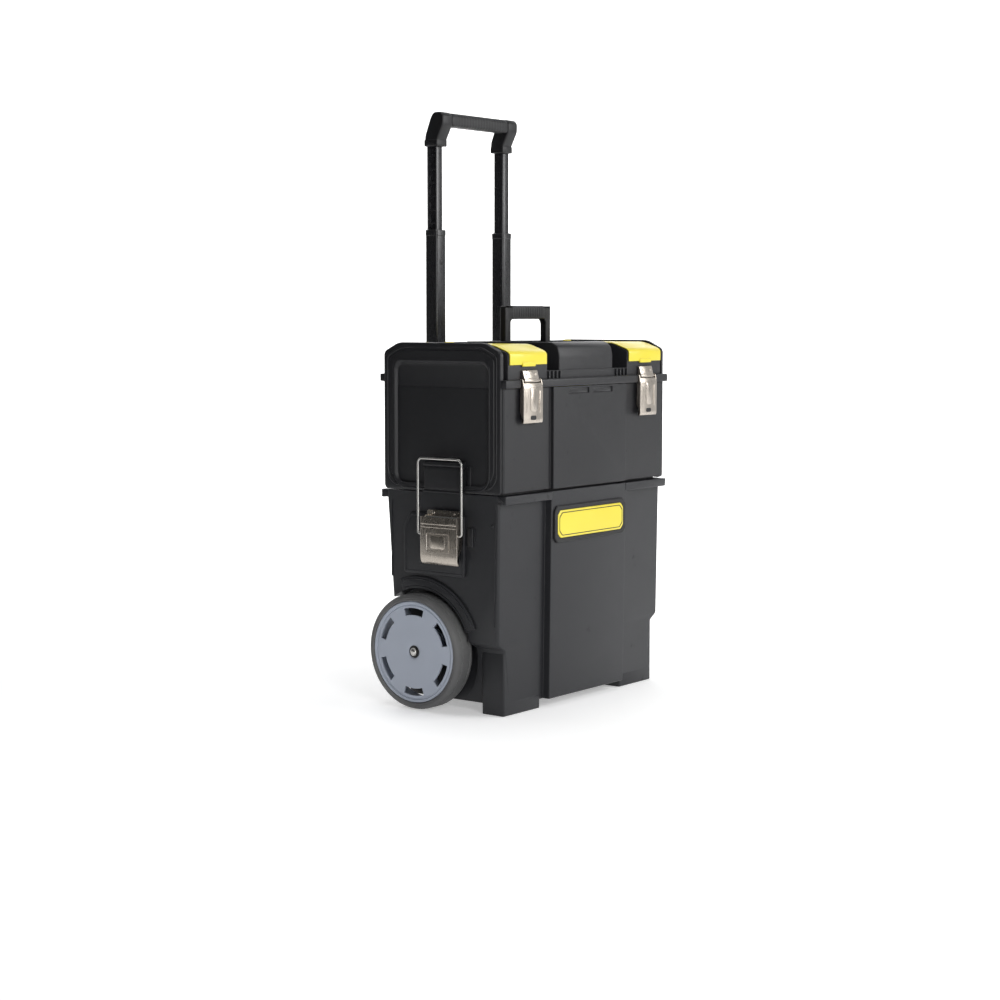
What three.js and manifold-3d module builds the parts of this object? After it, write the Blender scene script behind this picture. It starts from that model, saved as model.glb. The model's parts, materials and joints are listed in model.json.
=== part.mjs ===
// Rolling tool box: a wheeled lower bin, a lift-off tool box that rides on it, and a two-stage
// telescopic pull handle. Millimetres. X runs along the wheel axle, -Y is the front (badge and
// latches), +Z is up, and the floor is Z = 0.
import * as THREE from 'three';
import { mergeVertices } from 'three/addons/utils/BufferGeometryUtils.js';
import Module from 'manifold-3d';

const wasm = await Module();
wasm.setup();

// ---------------------------------------------------------------- driving dimensions
const GAP = 0.3; // between neighbouring pieces
const HALF_X = 220; // half width of the tool box's end faces
const BIN_HALF_X = 217.5;
const HALF_Y = 112.5; // half depth of the end faces
const FRONT_Y = -115.5; // side strips of the tool box's front
const PROUD = 6; // its centre panel stands this far in front of them
const PANEL_X = 98.5; // half width of that panel
const SEAM_Z = 334; // bin below, tool box above
const LID_Z = 492.5; // underside of the lid
const TOP_Z = 558.5;
const SKIRT_Z = 14; // bottom edge of the bin's walls
const WALL = 3.2;
const CORNER = 6;
const SIDE_WALL = 7; // end walls behind their raised frames
const RECESS_X = 106; // half width of the rear bay that clears the poles
const RIM_HEIGHT = 13;
const RIM_REACH = 122; // how far the lid's rim and the rear rims stand out
const BIN_RIM = 120.6; // the bin's front rim, nearly flush with its centre panel
const BIN = { front: -107.8, rear: 110.5, proud: 12, panelX: 101, bayY: 101 };
const BIN_LEAN = { front: 0.963, rear: 0.8 }; // the walls' reach at the skirt, against the seam's
const STEP = { x: 200, low: 97, high: 122 }; // the bin's sides step in above its feet

const AXLE = { y: 42.4, z: 89, r: 6 };
const WHEEL = { r: 89, hub: 78, inner: 198, outer: 238 };
const WHEEL_SIDES = 40;
const WELL = { r: 96, lip: 116, back: 191 };

const POLE = { x: 85.7, y: 118.75 }; // both stages share this centre line
const OUTER_POLE = { w: 24, d: 24.5, wall: 1.2, bottom: 270, top: 734 };
const INNER_POLE = { w: 16, d: 19.4, y: 119.7, bottom: 620, top: 880 };
const SLEEVE = { w: 29.8, d: 30.3, wall: 2.5, bottom: 82, top: 330 };
const GRIP = { half: 97.2, corner: 71.5, front: 94.2, back: 117, bottom: 894, top: 916.8 };

const HINGE = { y: 79, z: 555.2, r: 3.2 }; // lid hinge line, along X
const LID = { half: 205.5, rear: 76, top: 555.6, ceiling: 512 };
const COVER = { in: 111, out: 203, hingeY: 59, hingeZ: 557.1, sheet: 2.2 };
const BLOCK = { half: 72, well: 66, wellFront: -84, wellRear: 24, floor: 517 };
const BAIL = { half: 59.7, y: 5.5, z: 532, top: 614, bar: 19, depth: 12 };

const FRONT_LATCH = { x: 156, half: 24, y: -126, pivotY: -121, pivotZ: 503, bottom: 440 };
const SIDE_LATCH = { y: -9.5, half: 35.5, x: 238.5, pivotX: 229, pivotZ: 297, bottom: 226 };
const WIRE = { r: 2, sides: 10, pivotX: 236, pivotZ: 272, top: 386, half: 40 };
const LEDGE = { out: 230, half: 35, bottom: 334.6, top: 380 };
const BADGE = { half: 96, bottom: 254, top: 311, front: -123, back: -120 };
const TRAY = { half: 200, front: 2, rear: 72, bottom: 430, top: 484 };

const REAR_MOST = POLE.y + SLEEVE.d / 2;
const Y_CENTRE = (REAR_MOST + FRONT_LATCH.y) / 2;

// ---------------------------------------------------------------- finishes
const finish = (color, roughness, metalness) =>
  new THREE.MeshStandardMaterial({ color, roughness, metalness });
const FINISH = {
  charcoal: () => finish(0x2c2d30, 0.6, 0),
  black: () => finish(0x17181a, 0.55, 0),
  yellow: () => finish(0xf0dc32, 0.45, 0),
  nickel: () => finish(0xc9c5bb, 0.25, 1),
  steel: () => finish(0x9a9c9f, 0.35, 1),
  hub: () => finish(0x868d98, 0.5, 0),
  tyre: () => finish(0x4a4b4d, 0.85, 0),
  pole: () => finish(0x9fa3a8, 0.4, 1),
};

// ---------------------------------------------------------------- solids and booleans
function solid(geometry) {
  let g = geometry.clone();
  g.deleteAttribute('normal');
  g.deleteAttribute('uv');
  g = mergeVertices(g, 1e-4);
  return new wasm.Manifold(new wasm.Mesh({
    numProp: 3,
    vertProperties: new Float32Array(g.attributes.position.array),
    triVerts: new Uint32Array(g.index.array),
  }));
}

function geometryOf(manifold) {
  const mesh = manifold.getMesh();
  const g = new THREE.BufferGeometry();
  g.setAttribute('position', new THREE.BufferAttribute(mesh.vertProperties, 3));
  g.setIndex(new THREE.BufferAttribute(mesh.triVerts, 1));
  g.computeVertexNormals();
  return g;
}

const join = (first, ...rest) => rest.reduce((a, b) => a.add(b), first);
const cut = (first, ...rest) => rest.reduce((a, b) => a.subtract(b), first);

function box(x0, x1, y0, y1, z0, z1) {
  const g = new THREE.BoxGeometry(x1 - x0, y1 - y0, z1 - z0);
  g.translate((x0 + x1) / 2, (y0 + y1) / 2, (z0 + z1) / 2);
  return solid(g);
}

function rodX(x0, x1, y, z, r, segments = 24) {
  const g = new THREE.CylinderGeometry(r, r, x1 - x0, segments);
  g.rotateZ(Math.PI / 2).translate((x0 + x1) / 2, y, z);
  return solid(g);
}

function rodY(y0, y1, x, z, r, segments = 16) {
  const g = new THREE.CylinderGeometry(r, r, y1 - y0, segments);
  g.translate(x, (y0 + y1) / 2, z);
  return solid(g);
}

function rodZ(z0, z1, x, y, r) {
  const g = new THREE.CylinderGeometry(r, r, z1 - z0, WIRE.sides);
  g.rotateX(Math.PI / 2).translate(x, y, (z0 + z1) / 2);
  return solid(g);
}

function ball(x, y, z, r) {
  return solid(new THREE.SphereGeometry(r, WIRE.sides, 6).translate(x, y, z));
}

/** A plan outline (X, Y) pushed up from z0 to z1. */
function prismZ(shape, z0, z1) {
  const g = new THREE.ExtrudeGeometry(shape, { depth: z1 - z0, bevelEnabled: false, curveSegments: 3 });
  g.translate(0, 0, z0);
  return g;
}

/** A front outline (X, Z) pushed along Y from y0 to y1. */
function prismY(points, y0, y1) {
  const shape = new THREE.Shape(points.map(([x, z]) => new THREE.Vector2(x, z)));
  const g = new THREE.ExtrudeGeometry(shape, { depth: y1 - y0, bevelEnabled: false });
  g.rotateX(Math.PI / 2).translate(0, y1, 0);
  return solid(g);
}

/** A side outline (Y, Z) pushed along X from x0 to x1. */
function prismX(points, x0, x1) {
  const shape = points instanceof THREE.Shape ? points
    : new THREE.Shape(points.map(([y, z]) => new THREE.Vector2(y, z)));
  const g = new THREE.ExtrudeGeometry(shape, { depth: x1 - x0, bevelEnabled: false, curveSegments: 4 });
  // local x, y, z become world Y, Z, X
  g.applyMatrix4(new THREE.Matrix4().makeBasis(
    new THREE.Vector3(0, 1, 0), new THREE.Vector3(0, 0, 1), new THREE.Vector3(1, 0, 0)));
  g.translate(x0, 0, 0);
  return solid(g);
}

function roundedRect(x0, x1, y0, y1, r) {
  const s = new THREE.Shape();
  s.moveTo(x0 + r, y0);
  s.lineTo(x1 - r, y0).absarc(x1 - r, y0 + r, r, -Math.PI / 2, 0);
  s.lineTo(x1, y1 - r).absarc(x1 - r, y1 - r, r, 0, Math.PI / 2);
  s.lineTo(x0 + r, y1).absarc(x0 + r, y1 - r, r, Math.PI / 2, Math.PI);
  s.lineTo(x0, y0 + r).absarc(x0 + r, y0 + r, r, Math.PI, Math.PI * 1.5);
  return s;
}

/** Plan of a box wall: rounded corners, a proud centre panel in front and a bay at the rear. */
function boxPlan({ halfX, front, rear, corner, bayX, bayY, proud, panelX }) {
  const s = new THREE.Shape();
  s.moveTo(-halfX + corner, front);
  s.lineTo(-panelX, front).lineTo(-panelX, front - proud);
  s.lineTo(panelX, front - proud).lineTo(panelX, front);
  s.lineTo(halfX - corner, front).absarc(halfX - corner, front + corner, corner, -Math.PI / 2, 0);
  s.lineTo(halfX, rear - corner).absarc(halfX - corner, rear - corner, corner, 0, Math.PI / 2);
  s.lineTo(bayX, rear).lineTo(bayX, bayY).lineTo(-bayX, bayY).lineTo(-bayX, rear);
  s.lineTo(-halfX + corner, rear);
  s.absarc(-halfX + corner, rear - corner, corner, Math.PI / 2, Math.PI);
  s.lineTo(-halfX, front + corner);
  s.absarc(-halfX + corner, front + corner, corner, Math.PI, Math.PI * 1.5);
  return s;
}

/** How far the bin's wall reaches at height z, against its reach at the seam. */
const leanAt = (z, foot) => 1 - (1 - foot) * (SEAM_Z - z) / (SEAM_Z - SKIRT_Z);

/** Leans the bin's front and rear walls in towards the floor. */
function draft(g) {
  const p = g.attributes.position;
  for (let i = 0; i < p.count; i++) {
    const foot = p.getY(i) < 0 ? BIN_LEAN.front : BIN_LEAN.rear;
    p.setY(i, p.getY(i) * leanAt(p.getZ(i), foot));
  }
  return g;
}

const part = new THREE.Group();
part.position.y = -Y_CENTRE;

function add(name, manifold, material) {
  const mesh = new THREE.Mesh(geometryOf(manifold), material());
  mesh.name = name;
  part.add(mesh);
}

const SIDES = [['left', -1], ['right', 1]];
const mirrored = (m, s) => (s < 0 ? m : m.mirror([1, 0, 0]));

// ---------------------------------------------------------------- lower bin
function wheelWell(r, x0) {
  return rodX(x0, HALF_X + 30, AXLE.y, AXLE.z, r, 40);
}

function lowerBin() {
  const outer = solid(draft(prismZ(boxPlan({
    halfX: BIN_HALF_X, front: BIN.front, rear: BIN.rear, corner: CORNER,
    bayX: RECESS_X, bayY: BIN.bayY, proud: BIN.proud, panelX: BIN.panelX,
  }), SKIRT_Z, SEAM_Z)));
  const cavity = solid(draft(prismZ(boxPlan({
    halfX: BIN_HALF_X - SIDE_WALL + 2, front: BIN.front + WALL, rear: BIN.rear - WALL, corner: CORNER,
    bayX: RECESS_X + WALL, bayY: BIN.bayY - WALL, proud: BIN.proud, panelX: BIN.panelX - WALL,
  }), SKIRT_Z + WALL, SEAM_Z + 1)));
  const channel = { y0: AXLE.y - 18, y1: AXLE.y + 18, top: AXLE.z + 16 };
  let housings = box(-WELL.back - 2, WELL.back + 2, channel.y0 - WALL, channel.y1 + WALL,
    SKIRT_Z, channel.top + WALL);
  let cuts = box(-WELL.back, WELL.back, channel.y0, channel.y1, -1, channel.top);
  for (const [, s] of SIDES) {
    housings = housings.add(mirrored(wheelWell(WELL.r + WALL, WELL.back - WALL), -s));
    cuts = cuts.add(mirrored(wheelWell(WELL.r, WELL.back), -s));
  }
  let bin = cut(outer, cavity).add(housings.intersect(outer));
  // the wall between axle channel and wheel wells stays, bored for the axle
  const web = box(WELL.back - WALL, WELL.back, channel.y0 - 1, channel.y1 + 1, SKIRT_Z, channel.top + 1);
  bin = cut(bin, cuts).add(web).add(mirrored(web, 1));
  bin = bin.subtract(rodX(-HALF_X, HALF_X, AXLE.y, AXLE.z, AXLE.r + 0.4));
  // the sides step in above the feet, with a sloping shoulder
  const slope = (STEP.high - STEP.low) / (HALF_X + 2 - STEP.x);
  const shoulder = (x) => STEP.low + slope * (x - STEP.x);
  const stepCut = prismY([[STEP.x, -1], [HALF_X + 9, -1], [HALF_X + 9, shoulder(HALF_X + 9)],
    [STEP.x, STEP.low]], -130, -50);
  const edge = BIN_HALF_X - 1;
  const stepWall = prismY([[STEP.x - WALL, SKIRT_Z], [STEP.x, SKIRT_Z], [STEP.x, STEP.low],
    [edge, shoulder(edge)], [edge, shoulder(edge) + 1.4 * WALL], [STEP.x - WALL, STEP.low + 1.4]],
    BIN.front * BIN_LEAN.front + 2, -52);
  for (const [, s] of SIDES) {
    bin = bin.subtract(mirrored(stepCut, -s)).add(mirrored(stepWall, -s));
  }
  // front and rear rims, arch lips, feet and the pads under the side latches
  const rimZ = SEAM_Z - RIM_HEIGHT;
  bin = bin.add(box(-BIN_HALF_X + 1, BIN_HALF_X - 1, -BIN_RIM, BIN.front + 1.5, rimZ, SEAM_Z));
  const lip = cut(rodX(BIN_HALF_X - 3, HALF_X + 1, AXLE.y, AXLE.z, WELL.lip, 48),
    rodX(HALF_X - 19, HALF_X + 9, AXLE.y, AXLE.z, WELL.r + 0.01, 48))
    .intersect(box(0, HALF_X + 9, -HALF_Y + 8, 97, 125, 230));
  const rearRim = box(RECESS_X, BIN_HALF_X - 1, BIN.rear - 3, RIM_REACH - 1, rimZ, SEAM_Z);
  const foot = box(BIN.panelX + 7, STEP.x, BIN.front * BIN_LEAN.front, -70, 0, SKIRT_Z + WALL);
  const pad = box(BIN_HALF_X - 1, HALF_X + 3, -46, 72, 206, 300);
  for (const [, s] of SIDES) {
    bin = join(bin, ...[lip, rearRim, foot, pad].map((piece) => mirrored(piece, -s)));
  }
  return bin;
}
add('lower_bin', lowerBin(), FINISH.charcoal);

/** A slice of the badge, between two planes along Y. */
function badge(inset, y0, y1, r) {
  const g = prismZ(roundedRect(-BADGE.half + inset, BADGE.half - inset,
    BADGE.bottom + inset, BADGE.top - inset, r), -y1, -y0);
  g.rotateX(Math.PI / 2);
  return solid(g);
}
add('badge_bezel', cut(badge(0, BADGE.front, BADGE.back, 10),
  badge(5, BADGE.front - 1, BADGE.front + 1.6, 6)), FINISH.black);
add('badge_plate', badge(5.4, BADGE.front - 0.3, BADGE.front + 1.3, 5.6), FINISH.yellow);

// ---------------------------------------------------------------- running gear
add('wheel_axle', rodX(-236, 236, AXLE.y, AXLE.z, AXLE.r), FINISH.steel);

function lathedX(profile, segments) {
  const closed = profile.map(([r, x]) => new THREE.Vector2(r, x));
  closed.push(closed[0].clone());
  const g = new THREE.LatheGeometry(closed, segments);
  g.rotateZ(-Math.PI / 2); // the lathe's own axis turns from Y to +X
  g.translate(0, AXLE.y, AXLE.z);
  return solid(g);
}

function tyre() {
  const { r, hub, inner, outer } = WHEEL;
  return lathedX([
    [hub + GAP, inner + 2], [r - 6, inner], [r - 1, inner + 5], [r, inner + 16],
    [r, outer - 16], [r - 1, outer - 5], [r - 6, outer], [hub + GAP, outer - 1],
  ], WHEEL_SIDES);
}

function hub() {
  const { hub: rim, inner, outer } = WHEEL;
  const body = lathedX([
    [AXLE.r + 0.5, inner - 2], [14, inner - 2], [14, outer - 9], [rim - 8, outer - 7],
    [rim - 5, inner + 3], [rim, inner + 3], [rim, outer - 2], [rim - 3, outer],
    [rim - 9, outer - 3], [14, outer - 4.5], [AXLE.r + 0.5, outer - 5],
  ], WHEEL_SIDES);
  const slots = [];
  for (let i = 0; i < 6; i++) {
    const g = new THREE.BoxGeometry(20, 30, 7);
    g.translate(outer, 0, rim - 14).rotateX(i * Math.PI / 3).translate(0, AXLE.y, AXLE.z);
    slots.push(solid(g));
  }
  return cut(body, ...slots);
}

for (const [side, s] of SIDES) {
  add(`wheel_spacer_${side}`, mirrored(cut(
    rodX(WELL.back + GAP, WHEEL.inner - 2 - GAP, AXLE.y, AXLE.z, 12),
    rodX(WELL.back, WHEEL.inner, AXLE.y, AXLE.z, AXLE.r + GAP)), -s), FINISH.black);
  add(`tyre_${side}`, mirrored(tyre(), -s), FINISH.tyre);
  add(`hub_${side}`, mirrored(hub(), -s), FINISH.hub);
  const cap = cut(rodX(WHEEL.outer - 4.6, WHEEL.outer + 0.5, AXLE.y, AXLE.z, 9),
    rodX(WHEEL.outer - 9, WHEEL.outer - 1.6, AXLE.y, AXLE.z, AXLE.r + GAP));
  add(`axle_cap_${side}`, mirrored(cap, -s), FINISH.steel);
}

// ---------------------------------------------------------------- telescopic handle
function squareTube({ w, d, wall }, y, z0, z1, r) {
  const outside = roundedRect(POLE.x - w / 2, POLE.x + w / 2, y - d / 2, y + d / 2, r);
  outside.holes.push(roundedRect(POLE.x - w / 2 + wall, POLE.x + w / 2 - wall,
    y - d / 2 + wall, y + d / 2 - wall, Math.max(r - wall, 0.6)));
  return solid(prismZ(outside, z0, z1));
}

const BUTTON = { z: 684, r: 4.2, front: POLE.y - OUTER_POLE.d / 2 - 1.8 };

function innerPole() {
  const { w, d, y, bottom, top } = INNER_POLE;
  let pole = box(POLE.x - w / 2, POLE.x + w / 2, y - d / 2, y + d / 2, bottom, top);
  const pitch = 21;
  for (let z = bottom + 6; z + pitch < top - 12; z += pitch) {
    pole = pole.subtract(box(POLE.x + w / 2 - 9, POLE.x + w, y - d / 2 + 2.6, y + d / 2 - 2.6,
      z, z + pitch - 3));
  }
  return pole;
}

function gripCorner() {
  const outline = [[GRIP.front, GRIP.top - 5], [GRIP.front, GRIP.bottom + 3], [106.3, 872],
    [106.3, 863.8], [131.2, 863.8], [131.2, 878], [GRIP.back + 3, GRIP.bottom + 14],
    [GRIP.back - 3, GRIP.top], [GRIP.front + 5, GRIP.top]];
  const block = prismX(outline, GRIP.corner + GAP, GRIP.half);
  const socket = box(POLE.x - INNER_POLE.w / 2 - GAP, POLE.x + INNER_POLE.w / 2 + GAP,
    INNER_POLE.y - INNER_POLE.d / 2 - GAP, INNER_POLE.y + INNER_POLE.d / 2 + GAP, 800,
    INNER_POLE.top + GAP);
  return block.subtract(socket);
}

const backplateFront = (z) => BIN.bayY * leanAt(z, BIN_LEAN.rear) + GAP;
add('handle_backplate', prismX([[backplateFront(318), 318], [103.2, 318], [103.2, 84],
  [backplateFront(84), 84]], -104, 104), FINISH.black);
for (const [side, s] of SIDES) {
  const sleeve = join(squareTube(SLEEVE, POLE.y, SLEEVE.bottom, SLEEVE.top, 3),
    box(POLE.x - 14, POLE.x + 14, POLE.y - 14, POLE.y + 14, SLEEVE.bottom, SLEEVE.bottom + 3));
  add(`pole_sleeve_${side}`, mirrored(sleeve, -s), FINISH.black);
  const outer = squareTube(OUTER_POLE, POLE.y, OUTER_POLE.bottom, OUTER_POLE.top, 3);
  const bore = rodY(BUTTON.front - 2, POLE.y, POLE.x, BUTTON.z, BUTTON.r);
  add(`outer_pole_${side}`, mirrored(outer.subtract(bore), -s), FINISH.pole);
  add(`inner_pole_${side}`, mirrored(innerPole(), -s), FINISH.pole);
  const button = rodY(BUTTON.front, POLE.y - OUTER_POLE.d / 2 + OUTER_POLE.wall + 0.3, POLE.x,
    BUTTON.z, BUTTON.r - GAP - 0.3);
  add(`lock_button_${side}`, mirrored(button, -s), FINISH.black);
  add(`grip_corner_${side}`, mirrored(gripCorner(), -s), FINISH.black);
}
const gripSection = roundedRect(GRIP.front, GRIP.back, GRIP.bottom, GRIP.top, 8);
add('grip_bar', prismX(gripSection, -GRIP.corner, GRIP.corner), FINISH.charcoal);

// ---------------------------------------------------------------- tool box body
const CHAMFER = { y: 28.5, z: 14 };
const DECK_REAR = 89.5; // the rear bay's wall, clear of the folded grip

/** End face outline (Y, Z): a rectangle with its two upper corners cut off. */
function endOutline(bottom, inset) {
  const y = HALF_Y - inset;
  const top = TOP_Z - inset;
  return [[-y, bottom], [y, bottom], [y, top - CHAMFER.z], [y - CHAMFER.y, top],
    [-y + CHAMFER.y, top], [-y, top - CHAMFER.z]];
}

/** Rear deck behind the lid: a hollow beam that carries the hinge. */
function rearDeck(x0, x1, rearY) {
  const slope = rearY > 100;
  const crown = slope ? [[84, TOP_Z], [rearY, TOP_Z - CHAMFER.z]] : [[rearY - 2, TOP_Z], [rearY, TOP_Z - 3]];
  const outside = [[76.8, LID_Z - 6], [rearY, LID_Z - 6], [rearY, crown[1][1]], crown[0],
    [82.6, TOP_Z], [82.6, 550.6], [76.8, 550.6]];
  const inside = [[79.4, LID_Z - 9], [rearY - 2.8, LID_Z - 9], [rearY - 2.8, slope ? 541 : 547.4],
    [slope ? 86 : rearY - 2.8, 547.4], [79.4, 547.4]];
  return prismX(outside, x0, x1).subtract(prismX(inside, x0 + 3, x1 - 3));
}

function toolBoxBody() {
  const plan = (inset) => boxPlan({
    halfX: HALF_X - inset, front: FRONT_Y + (inset ? WALL : 0), rear: HALF_Y - (inset ? WALL : 0),
    corner: CORNER, bayX: RECESS_X + (inset ? WALL : 0), bayY: DECK_REAR - (inset ? WALL : 0),
    proud: PROUD, panelX: PANEL_X - (inset ? WALL : 0),
  });
  let body = solid(prismZ(plan(0), SEAM_Z + GAP, LID_Z));
  const spigot = box(-HALF_X + 12, HALF_X - 12, -98, 88, SEAM_Z - 5, SEAM_Z + 2);
  body = body.add(spigot);
  const ends = SIDES.map(([, s]) => mirrored(
    prismX(endOutline(SEAM_Z + 5, 0), HALF_X - 14, HALF_X), -s));
  body = join(body, ...ends);
  body = body.subtract(solid(prismZ(plan(SIDE_WALL), SEAM_Z + 3.6, LID_Z)));
  body = body.subtract(box(-HALF_X + 15, HALF_X - 15, -95, 85, SEAM_Z - 1.8, SEAM_Z + 6));
  // the lid's own space between the end plates
  body = body.subtract(box(-LID.half - 0.5, LID.half + 0.5, -130, 76.8, LID_Z - GAP, TOP_Z + 9));
  body = body.subtract(box(-HALF_X - 1, HALF_X + 1, -130, -HALF_Y, LID_Z - GAP, TOP_Z + 9));
  body = join(body, rearDeck(-RECESS_X, RECESS_X, DECK_REAR), rearDeck(RECESS_X - 3, LID.half + 1, HALF_Y),
    rearDeck(-LID.half - 1, -RECESS_X + 3, HALF_Y));
  // rims, catch ledges and end panels let in
  for (const [, s] of SIDES) {
    const panel = roundedRect(-88, 88, 343, 529, 20);
    body = body.subtract(mirrored(prismX(panel, HALF_X - 4, HALF_X + 9), -s));
    body = body.add(mirrored(box(HALF_X - 5, LEDGE.out, SIDE_LATCH.y - LEDGE.half,
      SIDE_LATCH.y + LEDGE.half, LEDGE.bottom, LEDGE.top), -s));
    body = body.subtract(mirrored(box(HALF_X + 2, LEDGE.out - 3, SIDE_LATCH.y - LEDGE.half + 3,
      SIDE_LATCH.y + LEDGE.half - 3, LEDGE.bottom - 1, LEDGE.top - 4), -s));
    const from = s < 0 ? -HALF_X + 2 : RECESS_X;
    const to = s < 0 ? -RECESS_X : HALF_X - 2;
    body = body.add(box(from, to, HALF_Y - 2, RIM_REACH, 499, 512));
    const slot = s < 0 ? [-58, -6] : [6, 58];
    body = body.subtract(box(slot[0], slot[1], -130, FRONT_Y - PROUD + 2.4, 483, LID_Z - 4));
  }
  // knuckles that carry the hinge pin at both ends and in the middle
  for (const x of [-170, -60, 60, 170]) {
    const knuckle = rodX(x - 14, x + 14, HINGE.y, HINGE.z, HINGE.r, 16)
      .add(box(x - 14, x + 14, HINGE.y, 83, 550, 557));
    body = body.add(knuckle);
  }
  return body.subtract(rodX(-200, 200, HINGE.y, HINGE.z, 1.9, 12));
}
add('tool_box_body', toolBoxBody(), FINISH.charcoal);
add('lid_hinge_pin', rodX(-199, 199, HINGE.y, HINGE.z, 1.5, 12), FINISH.steel);

function tray() {
  const { half, front, rear, bottom, top } = TRAY;
  let shell = box(-half, half, front, rear, bottom, top);
  for (const [x0, x1] of [[-half + 2.4, -68], [-65.6, 65.6], [68, half - 2.4]]) {
    shell = shell.subtract(box(x0, x1, front + 2.4, rear - 2.4, bottom + 2.4, top + 1));
  }
  return shell.add(box(-46, 46, (front + rear) / 2 - 2, (front + rear) / 2 + 2, bottom + 1, top - 8));
}
add('inner_tray', tray(), FINISH.yellow);
for (const [side, s] of SIDES) {
  const bracket = box(TRAY.half + GAP, HALF_X - SIDE_WALL - GAP, TRAY.front - 6, TRAY.rear, TRAY.bottom - 8,
    TRAY.bottom - GAP).add(box(TRAY.half - 12, HALF_X - SIDE_WALL - GAP, TRAY.front - 6, TRAY.rear,
    TRAY.bottom - 8, TRAY.bottom - 5));
  add(`tray_rest_${side}`, mirrored(bracket, -s), FINISH.charcoal);
}

// ---------------------------------------------------------------- lid
function lidShell() {
  const chamferTop = -HALF_Y + CHAMFER.y;
  const outline = [[FRONT_Y, LID_Z], [LID.rear, LID_Z], [LID.rear, 550], [69, LID.top],
    [chamferTop, LID.top], [FRONT_Y, 544]];
  let lid = prismX(outline, -LID.half, LID.half);
  const ridgeTop = TOP_Z;
  const ridge = [[FRONT_Y + 3, 506], [69, 506], [69, ridgeTop], [-100, ridgeTop - 3], [-106, ridgeTop - 8],
    [FRONT_Y + 3, ridgeTop - 20]];
  lid = lid.subtract(box(-108, 108, -130, -70, BLOCK.floor, 600));
  lid = lid.add(prismX(ridge, -BLOCK.half, BLOCK.half));
  lid = lid.subtract(box(-LID.half + 3, LID.half - 3, FRONT_Y + 3, LID.rear - 3, LID_Z - 1, LID.ceiling));
  lid = lid.subtract(box(-BLOCK.well, BLOCK.well, BLOCK.wellFront, BLOCK.wellRear, BLOCK.floor, 600));
  for (const [, s] of SIDES) {
    const channel = box(BLOCK.half, 108, -130, 54, BLOCK.floor, 600);
    const front = box(COVER.in + 3, COVER.out - 3, FRONT_Y + 3, -38, BLOCK.floor, 600);
    const rear = box(COVER.in + 3, COVER.out - 3, -35, 52, BLOCK.floor, 600);
    lid = lid.subtract(mirrored(join(channel, front, rear), -s));
  }
  // front rim, left open where the latches hang
  const clear = FRONT_LATCH.half + 1.5;
  lid = lid.add(box(-HALF_X + 2, HALF_X - 2, -RIM_REACH, -HALF_Y - GAP, LID_Z, LID_Z + RIM_HEIGHT));
  for (const [, s] of SIDES) {
    const x = s * FRONT_LATCH.x;
    lid = lid.subtract(box(x - clear, x + clear, -130, FRONT_Y, LID_Z - 1, LID_Z + 20));
  }
  for (const x of [-115, 0, 115]) {
    lid = lid.add(rodX(x - 38, x + 38, HINGE.y, HINGE.z, HINGE.r, 16)
      .add(box(x - 38, x + 38, 68, HINGE.y, 552.5, HINGE.z + 2)));
  }
  lid = lid.subtract(rodX(-200, 200, HINGE.y, HINGE.z, 1.9, 12));
  // bores for the bail's pivot studs
  return lid.subtract(rodX(-BLOCK.half - 1, BLOCK.half + 1, BAIL.y, BAIL.z, 3.8, 16));
}
add('lid', lidShell(), FINISH.charcoal);

function carryBail() {
  const { half, y, z, top, bar, depth } = BAIL;
  const shape = new THREE.Shape();
  shape.moveTo(-half, z - 7).lineTo(-half, top - 6).lineTo(-half + 6, top);
  shape.lineTo(half - 6, top).lineTo(half, top - 6).lineTo(half, z - 7);
  shape.lineTo(half - 14, z - 7).lineTo(half - 14, top - bar - 4).lineTo(half - 18, top - bar);
  shape.lineTo(-half + 18, top - bar).lineTo(-half + 14, top - bar - 4).lineTo(-half + 14, z - 7);
  const g = prismZ(shape, -y - depth / 2, -y + depth / 2);
  g.rotateX(Math.PI / 2);
  return solid(g).subtract(rodX(-half - 1, -half + 8, y, z, 3.8, 16))
    .subtract(rodX(half - 8, half + 1, y, z, 3.8, 16));
}
add('carry_bail', carryBail(), FINISH.charcoal);
for (const [side, s] of SIDES) {
  add(`bail_stud_${side}`, mirrored(rodX(BAIL.half - 7.5, BLOCK.half - 0.5, BAIL.y, BAIL.z, 3.4, 16), -s),
    FINISH.steel);
}

function organizerCover() {
  const y = FRONT_Y - GAP;
  const chamferTop = -HALF_Y + CHAMFER.y - 1;
  const t = COVER.sheet;
  const top = LID.top + GAP;
  const outline = [[y, 527], [y, 544.2], [chamferTop, top], [COVER.hingeY, top], [COVER.hingeY, top + t],
    [chamferTop - 0.6, top + t], [y - t, 545.2], [y - t, 527]];
  const sheet = prismX(outline, COVER.in, COVER.out);
  return sheet.add(rodX(COVER.in + 4, COVER.out - 4, COVER.hingeY, COVER.hingeZ + 0.5, 1.6, 12));
}
for (const [side, s] of SIDES) {
  add(`organizer_cover_${side}`, mirrored(organizerCover(), -s), FINISH.yellow);
}

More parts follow.
